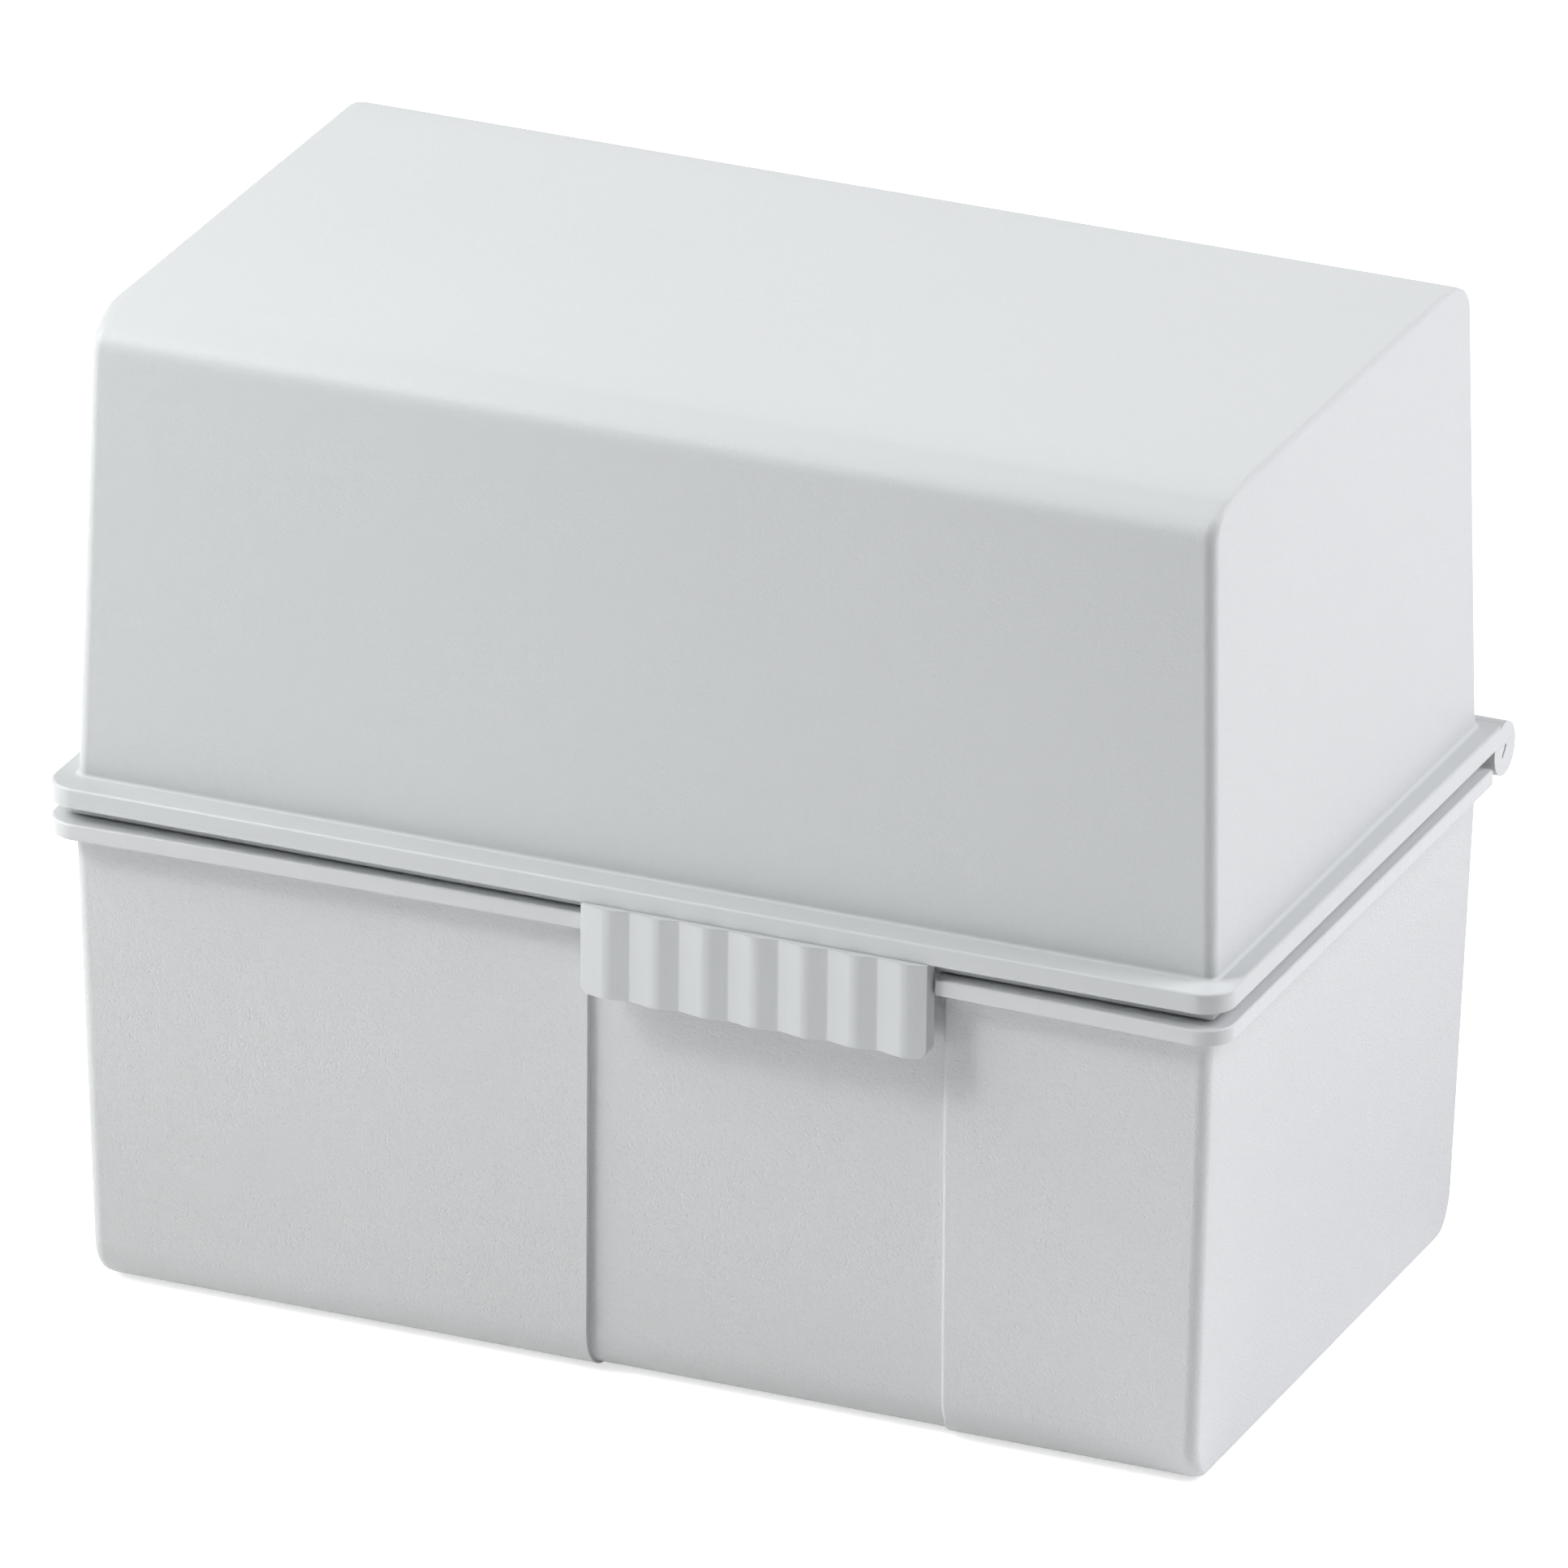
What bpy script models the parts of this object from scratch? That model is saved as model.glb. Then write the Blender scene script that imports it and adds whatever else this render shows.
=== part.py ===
"""Moulded index card box: a tub, a tall hinged lid with a ribbed front latch, a steel hinge pin
and a sheet metal plate that holds the cards upright.

X runs along the front, Y from the front to the hinge at the back, Z up. The origin is at the
middle of the bottom of the whole box. All sizes are in metres.
"""

import math

import bmesh
import bpy

# Rims, where the tub and the lid meet
RIM_WIDTH = 0.122
TUB_RIM_DEPTH = 0.0711
TUB_HEIGHT = 0.0498
TUB_RIM_THICK = 0.0017
LID_RIM_GAP = 0.00165
LID_RIM_THICK = 0.00205
RIM_CORNER = 0.0032
RIM_CORNER_BACK = 0.0018
RIM_EDGE = 0.00022

# Tub walls: how far they stand in from the rim, at the rim, and how much more at the bottom
TUB_WALL = 0.0022
TUB_SIDE_INSET = 0.00226
TUB_FRONT_INSET = 0.00234
TUB_BACK_INSET = 0.0001
TUB_DRAFT = 0.00137
TUB_CORNER = 0.0013
TUB_INNER_CORNER = 0.0009
TUB_END_FILLET = 0.0048
TUB_SIDE_FILLET = 0.00135
TUB_INNER_END_FILLET = 0.0026
TUB_INNER_SIDE_FILLET = 0.0008
FLOOR_THICK = 0.0022
FRONT_BOW = 0.0011

# Lid
TOTAL_HEIGHT = 0.1009
LID_WALL = 0.0019
LID_SIDE_INSET = 0.00224
LID_FRONT_INSET = 0.00317
LID_BACK_INSET = 0.0009
LID_SIDE_DRAFT = 0.00122
LID_END_DRAFT = 0.00100
LID_CORNER = 0.0012
LID_INNER_CORNER = 0.0007
LID_TOP_EDGE = 0.0007
LID_TOP_INNER_EDGE = 0.0006
LIP_SIDE_INSET = 0.0019
LIP_FRONT_INSET = 0.00215
LIP_BACK_INSET = 0.0008
LIP_CORNER = 0.0004

# Rolled top edge of the lid at the front and the back, seen from the side: how far in from
# the wall and how far below the top each point is
ROLL_POINTS = (
    (0.00000, 0.00400),
    (0.00008, 0.00320),
    (0.00036, 0.00245),
    (0.00088, 0.00185),
    (0.00160, 0.00143),
    (0.00265, 0.00090),
    (0.00360, 0.00050),
    (0.00520, 0.00022),
    (0.00720, 0.00006),
    (0.00900, 0.00000),
)

# Front latch, moulded on the lid
LATCH_LEFT = -0.00465
LATCH_RIGHT = 0.0311
LATCH_DROP = 0.0080
LATCH_THICK = 0.0016
LATCH_CORNER = 0.0019
LATCH_FLUSH_STEP = 0.00003
LATCH_ROOT = 0.0008
RIB_COUNT = 7
RIB_HEIGHT = 0.00083
RIB_CREST_SHARE = 0.61
RIB_CREST_RADIUS = 0.0011
RIB_MARGIN = 0.0001
RIB_VALLEY_DEPTH = 0.00005
HOOK_LENGTH = 0.020
HOOK_HEIGHT = 0.0012
HOOK_DEPTH = 0.0007
HOOK_RISE = 0.0005
HOOK_TOE_SHARE = 0.4
HOOK_NOSE_SHARE = 0.5
ROOT_SIDE_STEP = 0.0001
ROOT_OVERLAP = 0.0010

# Recessed panel and notch in the tub's front, behind the latch
RECESS_LEFT = -0.0045
RECESS_RIGHT = 0.0322
RECESS_DEPTH = 0.0006
RECESS_SINK = 0.00002
NOTCH_LEFT = -0.0050
NOTCH_RIGHT = 0.0322
NOTCH_SINK = 0.00011
CATCH_HEIGHT = 0.0012
CATCH_ABOVE_HOOK = 0.0006
CATCH_FOOT_SHARE = 0.33
CATCH_FACE_SHARE = 0.6
CATCH_TOP_SHARE = 1.6

# Hinge
PIVOT_BEHIND_RIM = 0.00052
PIVOT_RISE = 0.00102
BARREL_RADIUS = 0.00272
LID_END_BARREL = 0.0180
LID_MID_BARREL = 0.0320
BARREL_GAP = 0.0003
BARREL_CLEARANCE = 0.00038
PIN_RADIUS = 0.0010
BORE_CLEARANCE = 0.00008
PIN_END_COVER = 0.0014
STAKE_RADIUS = 0.0007
STAKE_DEPTH = 0.0003
WEB_DROP = 0.0068
WEB_OVERLAP = 0.0012
WEB_BACK_ANGLE = math.radians(-28.0)
WEB_END_STEP = 0.00005

# Plate that holds the cards upright, bent from sheet metal
PLATE_SHEET = 0.0008
PLATE_SIDE_GAP = 0.0031
PLATE_HEIGHT = 0.0600
PLATE_FOOT = 0.0200
PLATE_BEND = 0.0016
PLATE_CORNER = 0.0060
PLATE_LIFT = 0.0003
PLATE_BACK_GAP = 0.0045
PLATE_GRIP_RADIUS = 0.0110
PLATE_GRIP_DROP = 0.0040

# Colours, as light reflected
PLASTIC_COLOUR = (0.60, 0.62, 0.62)
PIN_COLOUR = (0.62, 0.62, 0.60)
SHEET_COLOUR = (0.66, 0.67, 0.68)
PLASTIC_ROUGHNESS = 0.5
PIN_ROUGHNESS = 0.3
SHEET_ROUGHNESS = 0.38

# Shared values for cuts and for round parts
OVERRUN = 0.0040
WELD = 0.0005
SAME_POINT = 0.00000004
STRAY_POINT = 0.000002
QUARTER_TURN = math.radians(90.0)
CORNER_STEPS = 6
CREST_STEPS = 3
BOW_STEPS = 12
ROUND_STEPS = 40
FILLET_STEPS = 6
SMOOTH_ANGLE = math.radians(32.0)

# Sizes that follow from the ones above
HALF_WIDTH = RIM_WIDTH / 2
PIVOT_BACK = TUB_RIM_DEPTH + PIVOT_BEHIND_RIM
PIVOT_HEIGHT = TUB_HEIGHT + PIVOT_RISE
LATCH_BOTTOM = TUB_HEIGHT - LATCH_DROP
PLATE_WIDTH = 2 * (HALF_WIDTH - TUB_SIDE_INSET - TUB_DRAFT - TUB_WALL - PLATE_SIDE_GAP)
TOTAL_DEPTH = RIB_HEIGHT + PIVOT_BACK + BARREL_RADIUS
FRONT_Y = RIB_HEIGHT - TOTAL_DEPTH / 2
PIVOT_Y = FRONT_Y + PIVOT_BACK
TUB_RIM_BOTTOM = TUB_HEIGHT - TUB_RIM_THICK
LID_RIM_BOTTOM = TUB_HEIGHT + LID_RIM_GAP
LID_RIM_TOP = LID_RIM_BOTTOM + LID_RIM_THICK
LIP_BOTTOM = TUB_HEIGHT + BARREL_GAP
LATCH_WIDTH = LATCH_RIGHT - LATCH_LEFT
BORE_RADIUS = PIN_RADIUS + BORE_CLEARANCE


def clear_scene():
    """Remove every object the start-up scene holds."""
    for obj in list(bpy.data.objects):
        bpy.data.objects.remove(obj, do_unlink=True)


def make_material(name, colour, roughness, metallic):
    """Plain shader for one kind of material."""
    material = bpy.data.materials.new(name)
    material.use_nodes = True
    shader = material.node_tree.nodes["Principled BSDF"]
    shader.inputs["Base Color"].default_value = (*colour, 1.0)
    shader.inputs["Roughness"].default_value = roughness
    shader.inputs["Metallic"].default_value = metallic
    return material


def mesh_object(name, verts, faces):
    """Closed mesh object with its faces turned outwards."""
    mesh = bpy.data.meshes.new(name)
    mesh.from_pydata(verts, [], faces)
    work = bmesh.new()
    work.from_mesh(mesh)
    bmesh.ops.remove_doubles(work, verts=work.verts, dist=SAME_POINT)
    bmesh.ops.recalc_face_normals(work, faces=work.faces)
    work.to_mesh(mesh)
    work.free()
    obj = bpy.data.objects.new(name, mesh)
    bpy.context.scene.collection.objects.link(obj)
    return obj


def ring(z, half, front, back, front_radius, back_radius, bow=0.0):
    """Rounded rectangle at height z, its front side bowed inwards by bow in the middle."""
    points = []
    corners = (
        (half - back_radius, back - back_radius, back_radius, 0.0),
        (-half + back_radius, back - back_radius, back_radius, QUARTER_TURN),
        (-half + front_radius, front + front_radius, front_radius, 2 * QUARTER_TURN),
        (half - front_radius, front + front_radius, front_radius, 3 * QUARTER_TURN),
    )
    for index, (cx, cy, radius, start) in enumerate(corners):
        for step in range(CORNER_STEPS + 1):
            angle = start + QUARTER_TURN * step / CORNER_STEPS
            points.append((cx + radius * math.cos(angle), cy + radius * math.sin(angle), z))
        if index == 2:
            span = 2 * (half - front_radius)
            for step in range(1, BOW_STEPS):
                x = -span / 2 + span * step / BOW_STEPS
                share = 1.0 - (2 * x / span) ** 2
                points.append((x, front + bow * share, z))
    return points


def loft(name, rings):
    """Skin a stack of rings and close it with a face at each end."""
    count = len(rings[0])
    verts = [point for one in rings for point in one]
    faces = []
    for level in range(len(rings) - 1):
        low = level * count
        high = low + count
        for i in range(count):
            j = (i + 1) % count
            faces.append((low + i, low + j, high + j, high + i))
    faces.append(tuple(reversed(range(count))))
    faces.append(tuple(range((len(rings) - 1) * count, len(rings) * count)))
    return mesh_object(name, verts, faces)


def prism(name, outline, axis, low, high):
    """Extrude a closed outline of (a, b) points along one axis: X takes (y, z), Y takes (x, z)
    and Z takes (x, y)."""
    def place(a, b, along):
        return {"X": (along, a, b), "Y": (a, along, b), "Z": (a, b, along)}[axis]

    count = len(outline)
    verts = [place(a, b, low) for a, b in outline] + [place(a, b, high) for a, b in outline]
    faces = [(i, (i + 1) % count, count + (i + 1) % count, count + i) for i in range(count)]
    faces.append(tuple(reversed(range(count))))
    faces.append(tuple(range(count, 2 * count)))
    return mesh_object(name, verts, faces)


def box(name, low, high):
    """Axis-aligned block between two corners."""
    outline = ((low[0], low[1]), (high[0], low[1]), (high[0], high[1]), (low[0], high[1]))
    return prism(name, outline, "Z", low[2], high[2])


def round_bar(name, radius, low, high):
    """Cylinder along X on the hinge axis."""
    outline = []
    for step in range(ROUND_STEPS):
        angle = 4 * QUARTER_TURN * (step + 0.5) / ROUND_STEPS
        outline.append((PIVOT_Y + radius * math.cos(angle), PIVOT_HEIGHT + radius * math.sin(angle)))
    return prism(name, outline, "X", low, high)


def combine(target, tool, operation):
    """Apply one exact Boolean and drop the tool."""
    modifier = target.modifiers.new(operation.title(), "BOOLEAN")
    modifier.operation = operation
    modifier.solver = "EXACT"
    modifier.object = tool
    depsgraph = bpy.context.evaluated_depsgraph_get()
    result = bpy.data.meshes.new_from_object(target.evaluated_get(depsgraph))
    target.modifiers.clear()
    old = target.data
    target.data = result
    result.name = old.name
    bpy.data.meshes.remove(old)
    bpy.data.objects.remove(tool, do_unlink=True)


def finish(obj, material, smooth=True):
    """Weld stray corners, give the piece its material and shade its curved faces smooth."""
    work = bmesh.new()
    work.from_mesh(obj.data)
    bmesh.ops.remove_doubles(work, verts=work.verts, dist=STRAY_POINT)
    bmesh.ops.dissolve_degenerate(work, edges=work.edges, dist=STRAY_POINT)
    bmesh.ops.recalc_face_normals(work, faces=work.faces)
    work.to_mesh(obj.data)
    work.free()
    obj.data.materials.clear()
    obj.data.materials.append(material)
    for polygon in obj.data.polygons:
        polygon.material_index = 0
    if smooth:
        obj.data.shade_smooth()
        obj.data.set_sharp_from_angle(angle=SMOOTH_ANGLE)


def round_inset(depth, radius):
    """How far a quarter-round edge stands in from the wall, depth above its foot."""
    if depth >= radius:
        return 0.0
    return radius - math.sqrt(max(radius ** 2 - (radius - depth) ** 2, 0.0))


def fillet_levels(*radii):
    """Heights above the foot at which the rings of one or more quarter-rounds lie."""
    levels = set()
    for radius in radii:
        for step in range(FILLET_STEPS + 1):
            levels.add(round(radius * (1 - math.cos(QUARTER_TURN * step / FILLET_STEPS)), 9))
    return sorted(levels)


def roll_inset(drop):
    """Inset of the lid's rolled top edge at a given distance below the top."""
    for (in_a, drop_a), (in_b, drop_b) in zip(ROLL_POINTS, ROLL_POINTS[1:]):
        if drop_b <= drop <= drop_a:
            share = (drop_a - drop) / (drop_a - drop_b)
            return in_a + (in_b - in_a) * share
    return 0.0


def bow_at(z):
    """Inward bow of the tub's front at height z."""
    return FRONT_BOW * z / TUB_HEIGHT


def tub_front(z):
    """Distance of the tub's outer front wall from the rim's front face, without the bow."""
    return TUB_FRONT_INSET + TUB_DRAFT * (TUB_RIM_BOTTOM - z) / TUB_RIM_BOTTOM


def tub_ring(z, inward, end_extra, side_extra, corner):
    """Ring of the tub's wall, inward of the outer face by a wall thickness or by nothing."""
    draft = TUB_DRAFT * max(TUB_RIM_BOTTOM - z, 0.0) / TUB_RIM_BOTTOM
    half = HALF_WIDTH - TUB_SIDE_INSET - draft - inward - side_extra
    front = FRONT_Y + TUB_FRONT_INSET + draft + inward + end_extra
    back = FRONT_Y + TUB_RIM_DEPTH - TUB_BACK_INSET - draft - inward - end_extra
    return ring(z, half, front, back, corner, corner, bow_at(z))


def rim_ring(z, inset, bow):
    """Ring of a rim's outer edge."""
    return ring(z, HALF_WIDTH - inset, FRONT_Y + inset, FRONT_Y + TUB_RIM_DEPTH - inset,
                RIM_CORNER, RIM_CORNER_BACK, bow)


def build_tub():
    """Open tub with drafted walls, rolled bottom edges and an outward rim."""
    rings = []
    for z in fillet_levels(TUB_END_FILLET, TUB_SIDE_FILLET):
        rings.append(tub_ring(z, 0.0, round_inset(z, TUB_END_FILLET),
                              round_inset(z, TUB_SIDE_FILLET), TUB_CORNER))
    rings.append(tub_ring(TUB_RIM_BOTTOM, 0.0, 0.0, 0.0, TUB_CORNER))
    rings.append(rim_ring(TUB_RIM_BOTTOM, RIM_EDGE, bow_at(TUB_RIM_BOTTOM)))
    rings.append(rim_ring(TUB_RIM_BOTTOM + RIM_EDGE, 0.0, bow_at(TUB_RIM_BOTTOM)))
    rings.append(rim_ring(TUB_HEIGHT - RIM_EDGE, 0.0, bow_at(TUB_HEIGHT)))
    rings.append(rim_ring(TUB_HEIGHT, RIM_EDGE, bow_at(TUB_HEIGHT)))
    rings.append(tub_ring(TUB_HEIGHT, TUB_WALL, 0.0, 0.0, TUB_INNER_CORNER))
    for depth in reversed(fillet_levels(TUB_INNER_END_FILLET, TUB_INNER_SIDE_FILLET)):
        rings.append(tub_ring(FLOOR_THICK + depth, TUB_WALL, round_inset(depth, TUB_INNER_END_FILLET),
                              round_inset(depth, TUB_INNER_SIDE_FILLET), TUB_INNER_CORNER))
    return loft("base_tub", rings)


def recess_outline():
    """Side view of what the recessed panel takes off the tub's front: the same curve further in."""
    foot = FRONT_Y + tub_front(0.0) + RECESS_DEPTH
    middle_bow = 1.0 - ((RECESS_LEFT + RECESS_RIGHT) / RIM_WIDTH) ** 2
    points = [(FRONT_Y - OVERRUN, TUB_RIM_BOTTOM)]
    top_depth = RECESS_DEPTH + middle_bow * bow_at(TUB_RIM_BOTTOM)
    points.append((FRONT_Y + tub_front(TUB_RIM_BOTTOM) + top_depth, TUB_RIM_BOTTOM))
    for step in range(FILLET_STEPS):
        angle = QUARTER_TURN * step / FILLET_STEPS
        z = TUB_END_FILLET * (1 - math.sin(angle))
        sag = middle_bow * bow_at(z)
        points.append((foot + TUB_END_FILLET * (1 - math.cos(angle)) + sag, z))
    points.append((foot + TUB_END_FILLET, -RECESS_SINK))
    points.append((foot + TUB_END_FILLET, -OVERRUN))
    points.append((FRONT_Y - OVERRUN, -OVERRUN))
    return points


def cut_front(tub):
    """Cut the recessed panel and the notch in the rim that the latch closes into."""
    combine(tub, prism("panel_cut", recess_outline(), "X", RECESS_LEFT, RECESS_RIGHT), "DIFFERENCE")
    depth = TUB_FRONT_INSET + RECESS_DEPTH + bow_at(TUB_HEIGHT)
    notch = box("notch_cut", (NOTCH_LEFT, FRONT_Y - OVERRUN, TUB_RIM_BOTTOM - NOTCH_SINK),
                (NOTCH_RIGHT, FRONT_Y + depth, TUB_HEIGHT + OVERRUN))
    combine(tub, notch, "DIFFERENCE")


def add_catch(tub):
    """Low bar on the panel that the latch's hook passes when the lid shuts."""
    centre = (LATCH_LEFT + LATCH_RIGHT) / 2
    low = LATCH_BOTTOM + HOOK_RISE + HOOK_HEIGHT + CATCH_ABOVE_HOOK
    face = FRONT_Y + tub_front(low) + RECESS_DEPTH + bow_at(low)
    front = FRONT_Y + LATCH_THICK + HOOK_DEPTH + BARREL_CLEARANCE
    outline = (
        (face + WELD, low - CATCH_HEIGHT * CATCH_FOOT_SHARE),
        (front, low),
        (front, low + CATCH_HEIGHT * CATCH_FACE_SHARE),
        (face + WELD, low + CATCH_HEIGHT * CATCH_TOP_SHARE),
    )
    bar = prism("catch", outline, "X", centre - HOOK_LENGTH / 2, centre + HOOK_LENGTH / 2)
    combine(tub, bar, "UNION")


def barrel_zones():
    """X ranges of the barrel lengths on the lid and on the tub."""
    lid_end = HALF_WIDTH - LID_END_BARREL
    mid = LID_MID_BARREL / 2
    lid = ((-HALF_WIDTH, -lid_end), (-mid, mid), (lid_end, HALF_WIDTH))
    tub = ((-lid_end + BARREL_GAP, -mid - BARREL_GAP), (mid + BARREL_GAP, lid_end - BARREL_GAP))
    return lid, tub


def tub_hinge(tub):
    """Clear the rear wall for the lid's barrels and add the tub's own."""
    lid_zones, tub_zones = barrel_zones()
    reach = BARREL_RADIUS + BARREL_CLEARANCE
    for low, high in lid_zones:
        end_low = low - (OVERRUN if low <= -HALF_WIDTH else BARREL_GAP)
        end_high = high + (OVERRUN if high >= HALF_WIDTH else BARREL_GAP)
        cut = box("clear", (end_low, PIVOT_Y - reach, PIVOT_HEIGHT - reach),
                  (end_high, PIVOT_Y + OVERRUN, TUB_HEIGHT + OVERRUN))
        combine(tub, cut, "DIFFERENCE")
    wall_in = FRONT_Y + TUB_RIM_DEPTH - TUB_BACK_INSET - TUB_WALL / 2
    for low, high in tub_zones:
        combine(tub, round_bar("barrel", BARREL_RADIUS, low, high), "UNION")
        back_y = PIVOT_Y + BARREL_RADIUS * math.cos(WEB_BACK_ANGLE)
        back_z = PIVOT_HEIGHT + BARREL_RADIUS * math.sin(WEB_BACK_ANGLE)
        outline = (
            (wall_in, PIVOT_HEIGHT - WEB_DROP),
            (wall_in + WEB_OVERLAP, PIVOT_HEIGHT - WEB_DROP),
            (back_y, back_z),
            (PIVOT_Y, PIVOT_HEIGHT),
            (wall_in, TUB_HEIGHT - RIM_EDGE),
        )
        combine(tub, prism("web", outline, "X", low + WEB_END_STEP, high - WEB_END_STEP), "UNION")
    for low, high in tub_zones:
        combine(tub, round_bar("bore", BORE_RADIUS, low - BARREL_GAP, high + BARREL_GAP), "DIFFERENCE")


def lid_ring(z, inward, end_extra, side_extra, corner):
    """Ring of the lid's wall."""
    share = (z - LID_RIM_TOP) / (TOTAL_HEIGHT - LID_RIM_TOP)
    half = HALF_WIDTH - LID_SIDE_INSET - LID_SIDE_DRAFT * share - inward - side_extra
    front = FRONT_Y + LID_FRONT_INSET + LID_END_DRAFT * share + inward + end_extra
    back = FRONT_Y + TUB_RIM_DEPTH - LID_BACK_INSET - LID_END_DRAFT * share - inward - end_extra
    return ring(z, half, front, back, corner, corner)


def build_lid():
    """Tall lid: rolled front and back top edges, an outward rim and a lip that rests on the tub."""
    drops = sorted(set([drop for _, drop in ROLL_POINTS] + fillet_levels(LID_TOP_EDGE)))
    rings = []
    for drop in drops:
        rings.append(lid_ring(TOTAL_HEIGHT - drop, 0.0, roll_inset(drop),
                              round_inset(drop, LID_TOP_EDGE), LID_CORNER))
    rings.append(lid_ring(LID_RIM_TOP, 0.0, 0.0, 0.0, LID_CORNER))
    rings.append(rim_ring(LID_RIM_TOP, RIM_EDGE, 0.0))
    rings.append(rim_ring(LID_RIM_TOP - RIM_EDGE, 0.0, 0.0))
    rings.append(rim_ring(LID_RIM_BOTTOM + RIM_EDGE, 0.0, 0.0))
    rings.append(rim_ring(LID_RIM_BOTTOM, RIM_EDGE, 0.0))
    for z in (LID_RIM_BOTTOM, LIP_BOTTOM):
        rings.append(ring(z, HALF_WIDTH - LIP_SIDE_INSET, FRONT_Y + LIP_FRONT_INSET,
                          FRONT_Y + TUB_RIM_DEPTH - LIP_BACK_INSET, LIP_CORNER, LIP_CORNER))
    rings.append(lid_ring(LIP_BOTTOM, LID_WALL, 0.0, 0.0, LID_INNER_CORNER))
    ceiling = TOTAL_HEIGHT - LID_WALL
    inner_drops = [drop for drop in drops if drop <= ROLL_POINTS[0][1]]
    for drop in reversed(inner_drops):
        rings.append(lid_ring(ceiling - drop, LID_WALL, roll_inset(drop),
                              round_inset(drop, LID_TOP_INNER_EDGE), LID_INNER_CORNER))
    return loft("lid_cover", rings)


def rib_profile():
    """Plan view of the latch: a flat back and a front face with a row of rounded ridges."""
    pitch = (LATCH_WIDTH - 2 * RIB_MARGIN) / RIB_COUNT
    crest = pitch * RIB_CREST_SHARE
    left_slope = math.atan2(RIB_HEIGHT, crest)
    right_slope = math.atan2(RIB_HEIGHT, pitch - crest)
    points = [(LATCH_LEFT, FRONT_Y + LATCH_FLUSH_STEP)]
    for index in range(RIB_COUNT):
        start = LATCH_LEFT + RIB_MARGIN + index * pitch
        crest_x = start + crest
        centre_y = FRONT_Y - RIB_HEIGHT + RIB_CREST_RADIUS
        points.append((start, FRONT_Y + RIB_VALLEY_DEPTH))
        for step in range(-CREST_STEPS, CREST_STEPS + 1):
            angle = (left_slope if step < 0 else right_slope) * step / CREST_STEPS
            points.append((crest_x + RIB_CREST_RADIUS * math.sin(angle),
                           centre_y - RIB_CREST_RADIUS * math.cos(angle)))
    points.append((LATCH_RIGHT - RIB_MARGIN, FRONT_Y + RIB_VALLEY_DEPTH))
    points.append((LATCH_RIGHT, FRONT_Y + LATCH_FLUSH_STEP))
    points.append((LATCH_RIGHT, FRONT_Y + LATCH_THICK))
    points.append((LATCH_LEFT, FRONT_Y + LATCH_THICK))
    return points


def latch_outline(top):
    """Front view of the latch with its two rounded bottom corners."""
    points = [(LATCH_LEFT, top)]
    corners = ((LATCH_LEFT + LATCH_CORNER, 2 * QUARTER_TURN), (LATCH_RIGHT - LATCH_CORNER, 3 * QUARTER_TURN))
    for cx, start in corners:
        for step in range(CORNER_STEPS + 1):
            angle = start + QUARTER_TURN * step / CORNER_STEPS
            points.append((cx + LATCH_CORNER * math.cos(angle),
                           LATCH_BOTTOM + LATCH_CORNER + LATCH_CORNER * math.sin(angle)))
    points.append((LATCH_RIGHT, top))
    return points


def add_latch(lid):
    """Ribbed latch below the lid's front rim, with the hook behind it."""
    ribbed = prism("ribbed", rib_profile(), "Z", LATCH_BOTTOM - OVERRUN, LID_RIM_BOTTOM - RIM_EDGE)
    shape = prism("shape", latch_outline(LID_RIM_BOTTOM + OVERRUN), "Y",
                  FRONT_Y - OVERRUN, FRONT_Y + LATCH_THICK + OVERRUN)
    combine(ribbed, shape, "INTERSECT")
    root = box("root",
               (LATCH_LEFT + ROOT_SIDE_STEP, FRONT_Y + 2 * LATCH_FLUSH_STEP, LID_RIM_BOTTOM - ROOT_OVERLAP),
               (LATCH_RIGHT - ROOT_SIDE_STEP, FRONT_Y + LATCH_THICK - LATCH_FLUSH_STEP,
                LID_RIM_BOTTOM + LATCH_ROOT))
    combine(ribbed, root, "UNION")
    centre = (LATCH_LEFT + LATCH_RIGHT) / 2
    low = LATCH_BOTTOM + HOOK_RISE
    back = FRONT_Y + LATCH_THICK
    outline = (
        (back - WELD, low),
        (back + HOOK_DEPTH * HOOK_TOE_SHARE, low),
        (back + HOOK_DEPTH, low + HOOK_HEIGHT * HOOK_NOSE_SHARE),
        (back + HOOK_DEPTH, low + HOOK_HEIGHT),
        (back - WELD, low + HOOK_HEIGHT),
    )
    hook = prism("hook", outline, "X", centre - HOOK_LENGTH / 2, centre + HOOK_LENGTH / 2)
    combine(ribbed, hook, "UNION")
    combine(lid, ribbed, "UNION")


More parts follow.
